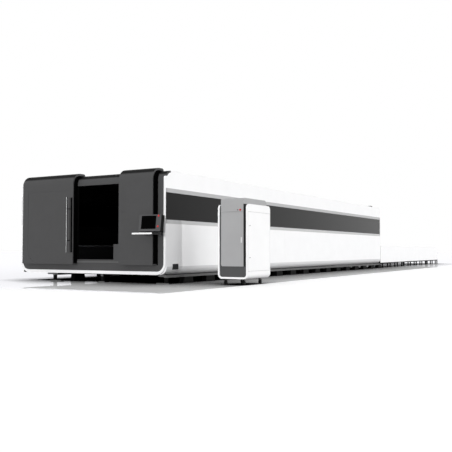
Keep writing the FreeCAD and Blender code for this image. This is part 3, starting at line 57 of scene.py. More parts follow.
def new_material(name):
    material = bpy.data.materials.new(name)
    material.use_nodes = True
    tree = material.node_tree
    shader = next(n for n in tree.nodes if n.type == "BSDF_PRINCIPLED")
    return material, tree, shader


def place(tree):
    """Object coordinates, which are the frame's own metres."""
    return tree.nodes.new("ShaderNodeTexCoord").outputs["Object"]


def stretched(tree, source, scale):
    mapping = tree.nodes.new("ShaderNodeMapping")
    mapping.inputs["Scale"].default_value = scale
    tree.links.new(source, mapping.inputs["Vector"])
    return mapping.outputs["Vector"]


def noise(tree, source, scale, detail=PLAIN_DETAIL):
    node = tree.nodes.new("ShaderNodeTexNoise")
    node.inputs["Scale"].default_value = scale
    node.inputs["Detail"].default_value = detail
    node.inputs["Roughness"].default_value = NOISE_ROUGHNESS
    tree.links.new(source, node.inputs["Vector"])
    return node.outputs["Fac"]


def ranged(tree, source, low, high, out_low=0.0, out_high=1.0):
    node = tree.nodes.new("ShaderNodeMapRange")
    limits = {"From Min": low, "From Max": high, "To Min": out_low, "To Max": out_high}
    for key, value in limits.items():
        node.inputs[key].default_value = value
    tree.links.new(source, node.inputs["Value"])
    return node.outputs["Result"]


def blended(tree, factor, first, second):
    """A colour between two, by a factor."""
    node = tree.nodes.new("ShaderNodeMix")
    node.data_type = "RGBA"
    tree.links.new(factor, node.inputs["Factor"])
    for index, colour in ((FIRST_COLOUR, first), (SECOND_COLOUR, second)):
        if isinstance(colour, bpy.types.NodeSocket):
            tree.links.new(colour, node.inputs[index])
        else:
            node.inputs[index].default_value = (*colour, 1.0)
    return node.outputs[MIXED_COLOUR]


def axis_of(tree, source, axis):
    node = tree.nodes.new("ShaderNodeSeparateXYZ")
    tree.links.new(source, node.inputs["Vector"])
    return node.outputs[axis]


def facing(tree, axis):
    """One part of the surface's own normal, in the frame's axes."""
    return axis_of(tree, tree.nodes.new("ShaderNodeTexCoord").outputs["Normal"], axis)


def level(tree, axis):
    """One part of the surface's place, in the frame's axes."""
    return axis_of(tree, place(tree), axis)


def calc(tree, operation, *values):
    node = tree.nodes.new("ShaderNodeMath")
    node.operation = operation
    for socket, value in zip(node.inputs, values):
        if isinstance(value, bpy.types.NodeSocket):
            tree.links.new(value, socket)
        else:
            socket.default_value = value
    return node.outputs["Value"]


def above(tree, source, limit):
    return calc(tree, "GREATER_THAN", source, limit)


def below(tree, source, limit):
    return calc(tree, "LESS_THAN", source, limit)


def between(tree, source, low, high):
    return all_of(tree, above(tree, source, low), below(tree, source, high))


def inverse(tree, mask):
    return calc(tree, "SUBTRACT", 1.0, mask)


def all_of(tree, mask, *others):
    """Where every mask holds."""
    for other in others:
        mask = calc(tree, "MULTIPLY", mask, other)
    return mask


def any_of(tree, mask, *others):
    """Where at least one mask holds."""
    for other in others:
        mask = calc(tree, "MAXIMUM", mask, other)
    return mask


def shade(colour, gain):
    """The same colour, darker or paler."""
    return tuple(min(channel * gain, 1.0) for channel in colour)


def toned(tree, shader, source, colour, gains, zones=()):
    """A base colour between two shades of one, by a noise, and plain inside each zone.

    A zone is a mask maker and the colour inside its mask, which for some zones is painted shade.
    """
    dark, pale = (shade(colour, gain) for gain in gains)
    finish = blended(tree, ranged(tree, source, NOISE_LOW, NOISE_HIGH), dark, pale)
    for mask, inside in zones:
        finish = blended(tree, mask(tree), finish, inside)
    tree.links.new(finish, shader.inputs["Base Color"])


def roughened(tree, shader, source, rough, spread, low=NOISE_LOW, high=NOISE_HIGH):
    """A roughness that a noise moves by up to the spread's two ends."""
    gloss = ranged(tree, source, low, high, rough + spread[0], rough + spread[1])
    tree.links.new(gloss, shader.inputs["Roughness"])


def bumped(tree, shader, height, strength, distance):
    node = tree.nodes.new("ShaderNodeBump")
    node.inputs["Strength"].default_value = strength
    node.inputs["Distance"].default_value = distance
    tree.links.new(height, node.inputs["Height"])
    tree.links.new(node.outputs["Normal"], shader.inputs["Normal"])


# ---------------------------------------------------------------- kinds of material
# A scale counts noise cells in a metre, a depth is in metres, gains brighten or darken the
# written colour, and a spread is how far the roughness moves.
TONE_SCALE, GLOSS_SCALE, PEEL_SCALE, PEEL_DEPTH = 2.3, 17.0, 420.0, 0.0004
CLEAN_SHARE, PAINT_SPREAD = 0.4, (-0.04, 0.05)
GRAIN_SCALE, GRAIN_BUMP, GRAIN_DEPTH = 300.0, 0.2, 0.0003
GRAIN_LOW, GRAIN_HIGH, METAL_GAINS, METAL_SPREAD = 0.25, 0.75, (0.86, 1.08), (-0.07, 0.09)
SMEAR_SCALE, SMEAR_STRETCH, SMEAR_GAINS = 1.4, (1.0, 1.0, 3.0), (0.9, 1.1)
MOULD_SCALE, PEBBLE_SCALE, PEBBLE_DEPTH = 30.0, 900.0, 0.0002
MOULD_GAINS, MOULD_SPREAD = (0.93, 1.04), (-0.03, 0.06)


def painted(name, colour, rough, peel, dust, specular, zones=()):
    """Powder coat: a fine orange peel, and faint broad unevenness of tone and gloss."""
    material, tree, shader = new_material(name)
    where = place(tree)
    gains = (1.0 - dust, 1.0 + dust * CLEAN_SHARE)
    toned(tree, shader, noise(tree, where, TONE_SCALE, BROAD_DETAIL), colour, gains, zones)
    roughened(tree, shader, noise(tree, where, GLOSS_SCALE), rough, PAINT_SPREAD)
    shader.inputs["Specular IOR Level"].default_value = specular
    bumped(tree, shader, noise(tree, where, PEEL_SCALE, FINE_DETAIL), peel, PEEL_DEPTH)
    return material


def metal(name, colour, rough, grain, scale=GRAIN_SCALE, bump=GRAIN_BUMP, zones=()):
    """Bare metal with a grain drawn out along the axis whose scale is smallest."""
    material, tree, shader = new_material(name)
    lines = noise(tree, stretched(tree, place(tree), grain), scale, BROAD_DETAIL)
    toned(tree, shader, lines, colour, METAL_GAINS, zones)
    roughened(tree, shader, lines, rough, METAL_SPREAD, GRAIN_LOW, GRAIN_HIGH)
    shader.inputs["Metallic"].default_value = 1.0
    bumped(tree, shader, lines, bump, GRAIN_DEPTH)
    return material


def glazed(name, colour, rough, spread, ior):
    """Dark tinted sheet with faint smears in its gloss, which mirrors more at a slant."""
    material, tree, shader = new_material(name)
    smear = noise(tree, stretched(tree, place(tree), SMEAR_STRETCH), SMEAR_SCALE)
    toned(tree, shader, smear, colour, SMEAR_GAINS)
    roughened(tree, shader, smear, rough, spread)
    shader.inputs["IOR"].default_value = ior
    return material


def moulded(name, colour, rough, texture, specular, coat=0.0):
    """Moulded plastic or rubber with a fine pebbled skin."""
    material, tree, shader = new_material(name)
    where = place(tree)
    pebble = noise(tree, where, PEBBLE_SCALE, FINE_DETAIL)
    toned(tree, shader, noise(tree, where, MOULD_SCALE), colour, MOULD_GAINS)
    roughened(tree, shader, pebble, rough, MOULD_SPREAD)
    shader.inputs["Coat Weight"].default_value = coat
    shader.inputs["Specular IOR Level"].default_value = specular
    bumped(tree, shader, pebble, texture, PEBBLE_DEPTH)
    return material


# ---------------------------------------------------------------- zones of paint and of painted shade
HOUSING_LOW, HOUSING_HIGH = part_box("right_wall")[0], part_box("left_wall")[1]
MIDDLE_Y = (HOUSING_LOW.y + HOUSING_HIGH.y) / 2
PORTAL_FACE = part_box("rear_portal")[1].x
WINDOW_LOW, WINDOW_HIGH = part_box("right_window")[0].z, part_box("right_window")[1].z
HANDLE_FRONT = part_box("door_handle")[0].x
TRAY_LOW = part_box("keyboard_tray")[0].z
BASE_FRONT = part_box("base_beams")[0].x
BEAM_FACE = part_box("base_beams")[0].y
BEAM_LOW, BEAM_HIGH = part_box("base_beams")[0].z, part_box("base_beams")[1].z
CABINET_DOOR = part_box("cabinet_door")
CABINET_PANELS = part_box("cabinet_side_panels")
CABINET_SIDE_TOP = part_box("cabinet_shell")[1].z

# Places and widths
FOLD_TOP = 0.43  # where the walls' curved foot ends
PORTAL_DEPTH = 0.06  # takes in the portal's plate
INWARD = 0.2  # distance from the middle, times how far the face turns towards it
TRIM_REACH = 0.11  # the trims' height beyond the window
BAR_DEPTH = 0.038
TRAY_RISE = 0.037  # the tray's own height, below its brackets
OPENING_RIGHT, OPENING_LEFT = 1.2, 2.8
OPENING_LOW, OPENING_HIGH = 0.5, 2.5
RECESS_EDGE = 0.020  # the part of the door that lies in its recess's shade
# Half the width of the painted shade along a seam of the cabinet's side panels
SEAM_EDGE = 0.006  # half of a seam's folded width
SKIN = 0.002  # how near to a plane a face counts as lying in it

# How far a normal turns to one side, from 0 to 1
MOSTLY = 0.5
TRIM_SLANT_LOW, TRIM_SLANT_HIGH = 0.15, 0.9
TURNED_UP, TURNED_DOWN = 0.05, 0.01
TOPS_START, TOPS_FULL = 0.50, 0.66
BAR_SIDE = 0.72
TRAY_UNDER = 0.3

# Colours of painted shade inside the housing and on the dark front's tops and jambs; the last
# one serves black parts and the painted shade beside the handle's bar and the cabinet's door
INSIDE_PAINTED_SHADE = (0.012, 0.012, 0.013)
BLACK_PAINTED_SHADE = (0.003, 0.003, 0.003)
PART_BLACK_AND_SHADE = (0.004, 0.004, 0.004)


def facing_sideways(tree):
    """Faces that look mostly to the machine's right or left."""
    return above(tree, calc(tree, "ABSOLUTE", facing(tree, "Y")), MOSTLY)


def inner_side_shade(tree):
    """The faces of the two long walls that look towards the bed, which get painted shade."""
    from_middle = calc(tree, "SUBTRACT", level(tree, "Y"), MIDDLE_Y)
    outward = calc(tree, "MULTIPLY", from_middle, facing(tree, "Y"))
    before_portal = below(tree, level(tree, "X"), PORTAL_FACE)
    return all_of(tree, below(tree, outward, -INWARD), before_portal)


def inner_end_shade(tree):
    """The rear portal's face that looks into the machine, which gets painted shade."""
    forward = below(tree, facing(tree, "X"), -MOSTLY)
    plate = between(tree, level(tree, "X"), PORTAL_FACE - PORTAL_DEPTH, PORTAL_FACE)
    return all_of(tree, forward, plate)


def inner_fold_shade(tree):
    """The upper side of the walls' curved foot, inside the housing, which gets painted shade."""
    upward = above(tree, facing(tree, "Z"), TURNED_UP)
    return all_of(tree, upward, below(tree, level(tree, "Z"), FOLD_TOP))


def lower_fold_shade(tree):
    """The lower side of the walls' curved foot, which gets painted shade."""
    downward = below(tree, facing(tree, "Z"), -TURNED_DOWN)
    return all_of(tree, downward, below(tree, level(tree, "Z"), FOLD_TOP))


def window_trims(tree):
    """The slanted folds above and below the window."""
    tilt = calc(tree, "ABSOLUTE", facing(tree, "Z"))
    slanted = between(tree, tilt, TRIM_SLANT_LOW, TRIM_SLANT_HIGH)
    near = between(tree, level(tree, "Z"), WINDOW_LOW - TRIM_REACH, WINDOW_HIGH + TRIM_REACH)
    return all_of(tree, slanted, near)


def top_shade(tree):
    """The shoulders' upper part and the tops, with a soft start, which get painted shade."""
    return ranged(tree, facing(tree, "Z"), TOPS_START, TOPS_FULL)


def underside_shade(tree):
    """Undersides, which get painted shade."""
    return below(tree, facing(tree, "Z"), -MOSTLY)


def handle_stems(tree):
    """The stand-offs behind the long bar of the door's handle."""
    return above(tree, level(tree, "X"), HANDLE_FRONT + BAR_DEPTH)


def handle_side_shade(tree):
    """The side of the handle's bar that is turned away from the front light, which gets painted
    shade.
    """
    return below(tree, facing(tree, "Y"), -BAR_SIDE)


def beside_panel(tree):
    """Every face of the console but its front."""
    return above(tree, facing(tree, "X"), -MOSTLY)


def tray_ends(tree):
    """The tray's sides, underside and brackets."""
    sides = facing_sideways(tree)
    underside = below(tree, facing(tree, "Z"), -TRAY_UNDER)
    brackets = above(tree, level(tree, "Z"), TRAY_LOW + TRAY_RISE)
    return any_of(tree, sides, underside, brackets)


def base_sides(tree):
    """The outer face of the base's long beam."""
    outer = below(tree, level(tree, "Y"), BEAM_FACE + SKIN)
    upright = below(tree, facing(tree, "Y"), -MOSTLY)
    height = between(tree, level(tree, "Z"), BEAM_LOW - SKIN, BEAM_HIGH + SKIN)
    return all_of(tree, outer, upright, height)


def front_members(tree):
    """The ends of the base frame that stick out at the front."""
    return below(tree, level(tree, "X"), BASE_FRONT + SKIN)


def jamb_shade(tree):
    """The upright edges of the loading opening, which get painted shade."""
    beside = between(tree, level(tree, "Y"), OPENING_RIGHT, OPENING_LEFT)
    height = between(tree, level(tree, "Z"), OPENING_LOW, OPENING_HIGH)
    return all_of(tree, facing_sideways(tree), beside, height)


def door_recess_shade(tree):
    """Painted shade in the recess along the right edge of the cabinet's door, and on the door's
    edge in it.
    """
    beside = below(tree, level(tree, "Y"), CABINET_DOOR[0].y + RECESS_EDGE)
    height = between(tree, level(tree, "Z"), CABINET_DOOR[0].z, CABINET_SIDE_TOP)
    return all_of(tree, beside, height)


def panel_seam_shade(tree):
    """Painted shade on the folded edges along the seams of the cabinet's side panels."""
    low, high = CABINET_PANELS
    seams = any_of(tree, *(
        between(tree, level(tree, axis), at - SEAM_EDGE, at + SEAM_EDGE)
        for axis, at in (("Z", low.z), ("Z", high.z), ("X", low.x), ("X", high.x))
    ))
    along = between(tree, level(tree, "X"), low.x - SEAM_EDGE, high.x + SEAM_EDGE)
    height = between(tree, level(tree, "Z"), low.z - SEAM_EDGE, high.z + SEAM_EDGE)
    return all_of(tree, seams, facing_sideways(tree), along, height)


# ---------------------------------------------------------------- materials by slot
FINISHES = {
    "white_panel": (painted, dict(
        colour=(0.90, 0.90, 0.905), rough=0.50, peel=0.12, dust=0.02, specular=0.25,
        zones=(
            # grey window trims, and painted shade under the walls' curved foot
            (window_trims, (0.50, 0.50, 0.505)), (lower_fold_shade, (0.70, 0.70, 0.705)),
            # painted shade on the faces inside the housing
            (inner_side_shade, INSIDE_PAINTED_SHADE), (inner_end_shade, INSIDE_PAINTED_SHADE), (inner_fold_shade, INSIDE_PAINTED_SHADE),
        ),
    )),
    "white_rim": (painted, dict(
        colour=(0.90, 0.90, 0.905), rough=0.45, peel=0.12, dust=0.02, specular=0.25,
    )),
    "roof_white": (painted, dict(
        colour=(0.85, 0.85, 0.855), rough=0.52, peel=0.15, dust=0.015, specular=0.25,
        # painted shade on the roof's undersides inside the housing
        zones=((underside_shade, INSIDE_PAINTED_SHADE),),
    )),
    "dark_front": (painted, dict(
        colour=(0.071, 0.071, 0.072), rough=0.62, peel=0.35, dust=0.04, specular=0.08,
        # painted shade on the tops and on the opening's jambs
        zones=((top_shade, BLACK_PAINTED_SHADE), (jamb_shade, BLACK_PAINTED_SHADE)),
    )),
    "dark_hood": (painted, dict(
        colour=(0.071, 0.071, 0.072), rough=0.62, peel=0.35, dust=0.04, specular=0.08,
        # painted shade on the tops
        zones=((top_shade, BLACK_PAINTED_SHADE),),
    )),
    "window_band": (glazed, dict(
        colour=(0.001, 0.001, 0.0011), rough=0.10, spread=(-0.02, 0.02), ior=1.25,
    )),
    "black_paint": (painted, dict(
        colour=(0.003, 0.003, 0.003), rough=0.6, peel=0.35, dust=0.10, specular=0.05,
        zones=((front_members, (0.11, 0.11, 0.11)), (base_sides, (0.13, 0.13, 0.13))),
    )),
    "black_rubber": (moulded, dict(
        colour=(0.001, 0.001, 0.001), rough=0.9, texture=0.1, specular=0.02,
    )),
    "bright_bar": (metal, dict(
        colour=(0.20, 0.202, 0.205), rough=0.40, grain=(1.0, 1.0, 0.02),
        # the stand-offs in black, and painted shade on the bar's side
        zones=((handle_stems, PART_BLACK_AND_SHADE), (handle_side_shade, PART_BLACK_AND_SHADE)),
    )),
    "plain_steel": (metal, dict(
        colour=(0.42, 0.43, 0.45), rough=0.36, grain=(0.03, 1.0, 1.0),
    )),
    "bed_grey": (painted, dict(
        colour=(0.016, 0.016, 0.017), rough=0.5, peel=0.3, dust=0.08, specular=0.2,
    )),
    "gantry_white": (painted, dict(
        colour=(0.60, 0.61, 0.63), rough=0.45, peel=0.2, dust=0.05, specular=0.3,
    )),
    "slat_steel": (metal, dict(
        colour=(0.24, 0.235, 0.23), rough=0.55, grain=(1.0, 0.05, 1.0), scale=60.0, bump=0.5,
    )),
    "vent_black": (painted, dict(
        colour=(0.02, 0.02, 0.021), rough=0.55, peel=0.3, dust=0.08, specular=0.3,
    )),
    "console_grey": (painted, dict(
        colour=(0.084, 0.084, 0.086), rough=0.55, peel=0.3, dust=0.04, specular=0.08,
        zones=((beside_panel, PART_BLACK_AND_SHADE),),
    )),
    "arm_grey": (painted, dict(
        colour=(0.05, 0.051, 0.053), rough=0.42, peel=0.25, dust=0.05, specular=0.4,
    )),
    "screen_glass": (glazed, dict(
        colour=(0.001, 0.001, 0.001), rough=0.06, spread=(0.0, 0.05), ior=1.06,
    )),
    "tray_silver": (painted, dict(
        colour=(0.90, 0.90, 0.905), rough=0.38, peel=0.15, dust=0.03, specular=0.3,
        zones=((tray_ends, PART_BLACK_AND_SHADE),),
    )),
    "stop_red": (moulded, dict(
        colour=(0.55, 0.012, 0.012), rough=0.32, texture=0.02, specular=0.3, coat=0.1,
    )),
    "button_dark": (moulded, dict(
        colour=(0.02, 0.02, 0.022), rough=0.35, texture=0.05, specular=0.5,
    )),
    "cabinet_white": (painted, dict(
        colour=(0.92, 0.92, 0.925), rough=0.45, peel=0.12, dust=0.02, specular=0.3,
        # painted shade along the side panels' seams
        zones=((panel_seam_shade, (0.62, 0.62, 0.625)),),
    )),
    "cabinet_dark": (painted, dict(
        colour=(0.06, 0.061, 0.062), rough=0.5, peel=0.3, dust=0.04, specular=0.3,
        # painted shade in the door's recess
        zones=((door_recess_shade, PART_BLACK_AND_SHADE),),
    )),
    "cabinet_silver": (painted, dict(
        colour=(0.35, 0.351, 0.355), rough=0.42, peel=0.25, dust=0.03, specular=0.3,
        # painted shade on the door's edge in its recess
        zones=((door_recess_shade, PART_BLACK_AND_SHADE),),
    )),
    "latch_white": (moulded, dict(
        colour=(0.66, 0.66, 0.66), rough=0.3, texture=0.02, specular=0.5, coat=0.2,
    )),
    "source_grey": (painted, dict(
        colour=(0.28, 0.29, 0.30), rough=0.45, peel=0.3, dust=0.05, specular=0.3,
    )),
    "caster_steel": (painted, dict(
        colour=(0.006, 0.006, 0.006), rough=0.5, peel=0.3, dust=0.08, specular=0.1,
    )),
    "caster_tyre": (moulded, dict(
        colour=(0.004, 0.004, 0.004), rough=0.7, texture=0.1, specular=0.1,
    )),
}
MATERIALS = {slot: kind(slot, **finish) for slot, (kind, finish) in FINISHES.items()}

for part in frame["record"]["subparts"]:
    node = frame["nodes"][part["node"]]
    node.data.materials.clear()
    node.data.materials.append(MATERIALS[part["material_slot"]])


# ---------------------------------------------------------------- mesh helpers
SHARP_ANGLE = math.radians(35)
PLATE_EDGE, PLATE_EDGE_STEPS = 0.001, 2
SHEET_EDGE_STEPS = 1


def finish_piece(name, build, body, slot):
    """Makes the built faces a piece that rides on a body."""
    mesh = bpy.data.meshes.new(name)
    build.to_mesh(mesh)
    build.free()
    mesh.materials.append(MATERIALS[slot])
    for polygon in mesh.polygons:
        polygon.use_smooth = True
    mesh.set_sharp_from_angle(angle=SHARP_ANGLE)
    piece = bpy.data.objects.new(name, mesh)
    bpy.context.scene.collection.objects.link(piece)
    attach(piece, body)


def slab(name, low, high, body, slot, edge=PLATE_EDGE, steps=PLATE_EDGE_STEPS):
    """A plate between two corners with rounded edges."""
    build = bmesh.new()
    bmesh.ops.create_cube(build, size=1.0)
    size = Vector(high) - Vector(low)
    middle = (Vector(high) + Vector(low)) / 2
    for vertex in build.verts:
        vertex.co = Vector(c * s for c, s in zip(vertex.co, size)) + middle
    bmesh.ops.bevel(
        build, geom=build.edges[:], offset=edge, segments=steps, affect="EDGES", profile=0.5
    )
    finish_piece(name, build, body, slot)


def turned(name, profile, origin, axis, body, slot, steps):
    """A turned piece: (along, radius) points spun about an axis through origin."""
    build = bmesh.new()
    along = Vector(axis).normalized()
    side = along.orthogonal().normalized()
    up = along.cross(side)
    rings = []
    for reach, radius in profile:
        ring = []
        for step in range(steps):
            turn = 2 * math.pi * step / steps
            offset = side * math.cos(turn) * radius + up * math.sin(turn) * radius
            ring.append(build.verts.new(Vector(origin) + along * reach + offset))
        rings.append(ring)
    for first, second in zip(rings, rings[1:]):
        for step in range(steps):
            ahead = (step + 1) % steps
            build.faces.new((first[step], first[ahead], second[ahead], second[step]))
    build.faces.new(list(reversed(rings[0])))
    build.faces.new(rings[-1])
    bmesh.ops.recalc_face_normals(build, faces=build.faces[:])
    finish_piece(name, build, body, slot)


def bent_strip(name, inner, outer, near, far, body, slot):
    """A strip between two lines of (x, z) points, from one y to another."""
    build = bmesh.new()
    near_inner, near_outer, far_inner, far_outer = (
        [build.verts.new((x, y, z)) for x, z in line]
        for y in (near, far) for line in (inner, outer)
    )
    around = (near_inner, near_outer, far_outer, far_inner)
    for first, second in zip(around, around[1:] + around[:1]):
        for step in range(len(first) - 1):
            build.faces.new((first[step], first[step + 1], second[step + 1], second[step]))
    for end in (0, -1):
        build.faces.new([line[end] for line in around])
    bmesh.ops.recalc_face_normals(build, faces=build.faces[:])
    finish_piece(name, build, body, slot)


# ---------------------------------------------------------------- trims
# The bare black strip beside the door's handle
HOOD_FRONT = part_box("front_door")[0].x
STRIP_THICK = 0.0035
STRIP_RIGHT, STRIP_LEFT, STRIP_LOW, STRIP_HIGH = 2.765, 2.818, 0.746, 2.142
slab(
    "door_strip", (HOOD_FRONT - STRIP_THICK, STRIP_RIGHT, STRIP_LOW),
    (HOOD_FRONT, STRIP_LEFT, STRIP_HIGH), "door", "black_rubber",
)

# Sheets on the side of the white rim that carry the window and its trims to the rim's front
RIM_SIDE, RIM_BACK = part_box("front_rim")[0].y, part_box("front_rim")[1].x
LAP_LENGTH, LAP_THICK, LAP_EDGE = 0.055, 0.0015, 0.0004
TRIM_RISE = 0.095
for name, low_z, high_z, slot in (
    ("window_lap", WINDOW_LOW, WINDOW_HIGH, "window_band"),
    ("trim_lap_lower", WINDOW_LOW - TRIM_RISE, WINDOW_LOW, "cabinet_silver"),
    ("trim_lap_upper", WINDOW_HIGH, WINDOW_HIGH + TRIM_RISE, "cabinet_silver"),
):
    slab(
        name, (RIM_BACK - LAP_LENGTH, RIM_SIDE - LAP_THICK, low_z), (RIM_BACK, RIM_SIDE, high_z),
        "machine", slot, LAP_EDGE, SHEET_EDGE_STEPS,
    )

# Sheets over the slits between the rear portal's sides and the walls
PORTAL_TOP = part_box("rear_portal")[1].z
PORTAL_TRIM_OUTER, PORTAL_TRIM_INNER = 0.001, 0.09
PORTAL_TRIM_THICK, PORTAL_TRIM_EDGE = 0.002, 0.0005
for side, low_y, high_y in (
    ("right", HOUSING_LOW.y + PORTAL_TRIM_OUTER, HOUSING_LOW.y + PORTAL_TRIM_INNER),
    ("left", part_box("front_rim")[1].y - PORTAL_TRIM_INNER,
     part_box("front_rim")[1].y - PORTAL_TRIM_OUTER),
):
    slab(
        f"portal_trim_{side}", (PORTAL_FACE, low_y, FOLD_TOP),
        (PORTAL_FACE + PORTAL_TRIM_THICK, high_y, PORTAL_TOP),
        "machine", "white_panel", PORTAL_TRIM_EDGE, SHEET_EDGE_STEPS,
    )

# The thin black lip on the fascia along the cover's right end, which follows the shoulder; its
# black also stands in for the shade of the gap beside the cover's end
FASCIA_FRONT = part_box("fascia")[0].x
COVER_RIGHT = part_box("right_cover")[0].y
SHOULDER_RADIUS, SHOULDER_START = 0.210, 2.490
LIP_LOW, LIP_WIDTH, LIP_THICK, LIP_TURN, LIP_STEPS = 0.446, 0.034, 0.004, 62.0, 14


def lip_line(radius):
    """(x, z) points up the front and round the shoulder's middle, at a radius from it."""
    middle = FASCIA_FRONT + SHOULDER_RADIUS
    line = [(middle - radius, LIP_LOW)]
    for step in range(LIP_STEPS + 1):
        angle = math.radians(LIP_TURN) * step / LIP_STEPS
        along, up = radius * math.cos(angle), radius * math.sin(angle)
        line.append((middle - along, SHOULDER_START + up))
    return line


bent_strip(
    "cover_lip_and_shade", lip_line(SHOULDER_RADIUS), lip_line(SHOULDER_RADIUS + LIP_THICK),
    COVER_RIGHT - LIP_WIDTH, COVER_RIGHT, "machine", "black_rubber",
)

# The small dark lamp beside the cycle button
COVER_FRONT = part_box("right_cover")[0].x
LAMP_SIDE, LAMP_HEIGHT, LAMP_STEPS = 1.077, 1.728, 32
LAMP_PROFILE = ((0, 0.011), (0.003, 0.011), (0.005, 0.009), (0.006, 0.005))
turned(
    "cover_lamp", LAMP_PROFILE, (COVER_FRONT, LAMP_SIDE, LAMP_HEIGHT), (-1, 0, 0),
    "machine", "button_dark", LAMP_STEPS,
)

# Cam locks of the cabinet's side panels, with a socket in the middle
CABINET_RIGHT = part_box("cabinet_shell")[0].y
CABINET_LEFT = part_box("cabinet_shell")[1].y
LOCK_ALONG, LOCK_HEIGHTS, LOCK_STEPS = 0.475, (0.63, 1.36), 24
LOCK_PROFILE = ((0, 0.013), (0.002, 0.013), (0.0035, 0.011), (0.0035, 0.0055), (0.0015, 0.005))
for side, face, out in (("right", CABINET_RIGHT, -1), ("left", CABINET_LEFT, 1)):
    for height in LOCK_HEIGHTS:
        turned(
            f"cam_lock_{side}_{int(height * 100)}", LOCK_PROFILE, (LOCK_ALONG, face, height),
            (0, out, 0), "machine", "arm_grey", LOCK_STEPS,
        )


# ---------------------------------------------------------------- floor
FLOOR_SIZE, FLOOR_DROP, FLOOR_ROUGH, GLOW = 400, 0.0005, 0.9, 0.20
POLISHED_FRONT, POLISHED_SIDE, POLISH, POLISH_ROUGH = -3.01, -1.90, 0.53, 0.02
FLOOR_SEEN, FLOOR_PLAIN = (0.96, 0.96, 0.965), (0.32, 0.32, 0.32)
FLOOR_MIRROR, FLOOR_SHADE = (0.95, 0.95, 1.0), (0.0, 0.0, 0.0)
# Contact shadow: how far it looks about, on the near side and beyond the machine, how fast it
# fades, and its share away from the polished strip
CONTACT_REACH, BEYOND_REACH, CONTACT_POWER, PLAIN_SHARE = 1.8, 0.9, 2.0, 0.2
# The far side begins and is full at these distances before the housing's left face.
BEYOND_START, BEYOND_FULL = 2.4, 0.5
# A wider look about darkens only what is nearly closed in.
AROUND_REACH, AROUND_LOW, AROUND_HIGH = 6.0, 0.15, 0.42
SHADOW_SAMPLES = 8
# The painted shadow below the housing begins and is full at these distances inside its sides.
UNDER_START, UNDER_FULL = 0.1, 0.5


def background_rays(tree):
    """Rays that show the background: straight ones, mirrored ones and ones through glass."""
    rays = tree.nodes.new("ShaderNodeLightPath").outputs
    return any_of(
        tree, rays["Is Camera Ray"], rays["Is Glossy Ray"], rays["Is Transmission Ray"]
    )


def openness(tree):
    """A node that says how open the floor lies to what is around it."""
    node = tree.nodes.new("ShaderNodeAmbientOcclusion")
    node.samples = SHADOW_SAMPLES
    return node


def under_housing_shadow(tree):
    """Painted shadow on the floor below the housing, fading out towards its edges."""
    masks = []
    for axis, low, high in (
        ("Y", HOUSING_LOW.y, HOUSING_HIGH.y), ("X", HOUSING_LOW.x, PORTAL_FACE)
    ):
        at = level(tree, axis)
        masks.append(ranged(tree, at, low + UNDER_START, low + UNDER_FULL))
        masks.append(ranged(tree, at, high - UNDER_FULL, high - UNDER_START, 1.0, 0.0))
    return all_of(tree, *masks)


def open_sky(tree, strip):
    """How much of the sky the floor sees past the machine, which sets its painted shadow."""
    nearby = openness(tree)
    reach = ranged(
        tree, level(tree, "Y"), HOUSING_HIGH.y - BEYOND_START, HOUSING_HIGH.y - BEYOND_FULL,
        CONTACT_REACH, BEYOND_REACH,
    )
    tree.links.new(reach, nearby.inputs["Distance"])
    around = openness(tree)
    around.inputs["Distance"].default_value = AROUND_REACH
    uncovered = ranged(tree, around.outputs["AO"], AROUND_LOW, AROUND_HIGH)
    contact = calc(tree, "POWER", nearby.outputs["AO"], CONTACT_POWER)
    covered = inverse(tree, all_of(tree, contact, uncovered))
    share = ranged(tree, strip, 0.0, 1.0, PLAIN_SHARE, 1.0)
    beside_machine = inverse(tree, all_of(tree, share, covered))
    return all_of(tree, beside_machine, inverse(tree, under_housing_shadow(tree)))


def make_floor():
    """A pale floor with the machine's shadow painted into its colour, glow and mirror, polished
    in a strip along the machine.
    """
    bpy.ops.mesh.primitive_plane_add(size=FLOOR_SIZE, location=(0, 0, -FLOOR_DROP))
    floor = bpy.context.object
    floor.name = "studio_floor"
    material, tree, shader = new_material("studio_floor")
    near = above(tree, level(tree, "X"), POLISHED_FRONT)
    strip = all_of(tree, near, above(tree, level(tree, "Y"), POLISHED_SIDE))
    sky = open_sky(tree, strip)
    rays = background_rays(tree)
    seen = blended(tree, sky, FLOOR_SHADE, FLOOR_SEEN)
    tree.links.new(blended(tree, rays, FLOOR_PLAIN, seen), shader.inputs["Base Color"])
    shader.inputs["Roughness"].default_value = FLOOR_ROUGH
    shader.inputs["Specular IOR Level"].default_value = 0.0
    shader.inputs["Emission Color"].default_value = (1, 1, 1, 1)
    tree.links.new(all_of(tree, rays, sky, GLOW), shader.inputs["Emission Strength"])
    polished = tree.nodes.new("ShaderNodeBsdfGlossy")
    tree.links.new(blended(tree, sky, FLOOR_SHADE, FLOOR_MIRROR), polished.inputs["Color"])
    polished.inputs["Roughness"].default_value = POLISH_ROUGH
    mix = tree.nodes.new("ShaderNodeMixShader")
    tree.links.new(ranged(tree, strip, 0.0, 1.0, 0.0, POLISH), mix.inputs["Fac"])
    tree.links.new(shader.outputs["BSDF"], mix.inputs[1])
    tree.links.new(polished.outputs["BSDF"], mix.inputs[2])
    output = next(n for n in tree.nodes if n.type == "OUTPUT_MATERIAL")
    tree.links.new(mix.outputs["Shader"], output.inputs["Surface"])
    floor.data.materials.append(material)


# ---------------------------------------------------------------- lights and camera
WORLD_STRENGTH = 0.74
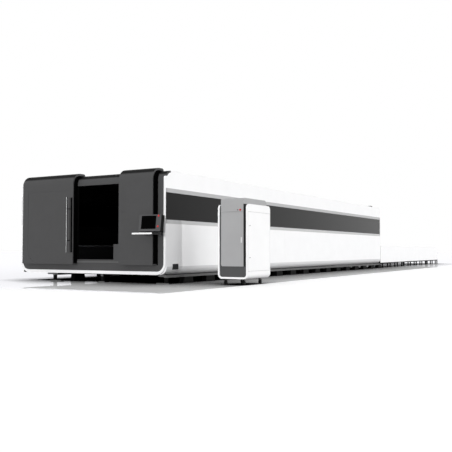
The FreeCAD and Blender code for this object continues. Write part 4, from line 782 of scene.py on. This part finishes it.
# Name, way the light goes, strength, width in degrees, and whether glossy surfaces mirror it
LAMPS = (
    ("side_light", (-0.845, 1.2, -0.107), 0.80, 1.0, True),
    ("side_soft", (-0.08, 1.2, -0.10), 1.66, 64.0, False),
    ("front_light", (1.0, 0.0, -0.04), 1.85, 8.0, True),
)
LENS, SENSOR, VIEW_END = 53.06, 36.0, 500.0
CAMERA_PLACE = (-12.8916, -9.1102, 0.80)
CAMERA_YAW, CAMERA_PITCH = math.radians(30.14), math.radians(2.08)


def make_world():
    """White where it is seen, and plain even light elsewhere."""
    world = bpy.data.worlds.new("studio")
    bpy.context.scene.world = world
    world.use_nodes = True
    tree = world.node_tree
    tree.nodes.clear()
    mix = tree.nodes.new("ShaderNodeMixShader")
    tree.links.new(background_rays(tree), mix.inputs["Fac"])
    for socket, strength in ((mix.inputs[1], WORLD_STRENGTH), (mix.inputs[2], 1.0)):
        light = tree.nodes.new("ShaderNodeBackground")
        light.inputs["Color"].default_value = (1, 1, 1, 1)
        light.inputs["Strength"].default_value = strength
        tree.links.new(light.outputs["Background"], socket)
    output = tree.nodes.new("ShaderNodeOutputWorld")
    tree.links.new(mix.outputs["Shader"], output.inputs["Surface"])


def make_sun(name, travel, strength, width, mirrored):
    lamp = bpy.data.lights.new(name, "SUN")
    lamp.energy = strength
    lamp.angle = math.radians(width)
    light = bpy.data.objects.new(name, lamp)
    light.rotation_euler = Vector(travel).to_track_quat("-Z", "Y").to_euler()
    light.visible_glossy = mirrored
    bpy.context.scene.collection.objects.link(light)


def make_camera():
    lens = bpy.data.cameras.new("camera")
    lens.lens = LENS
    lens.sensor_width = SENSOR
    lens.clip_end = VIEW_END
    camera = bpy.data.objects.new("camera", lens)
    camera.location = CAMERA_PLACE
    camera.rotation_euler = (math.pi / 2 + CAMERA_PITCH, 0.0, CAMERA_YAW - math.pi / 2)
    bpy.context.scene.collection.objects.link(camera)
    bpy.context.scene.camera = camera


make_floor()
make_world()
for lamp in LAMPS:
    make_sun(*lamp)
make_camera()
bpy.context.scene.view_settings.view_transform = "Standard"
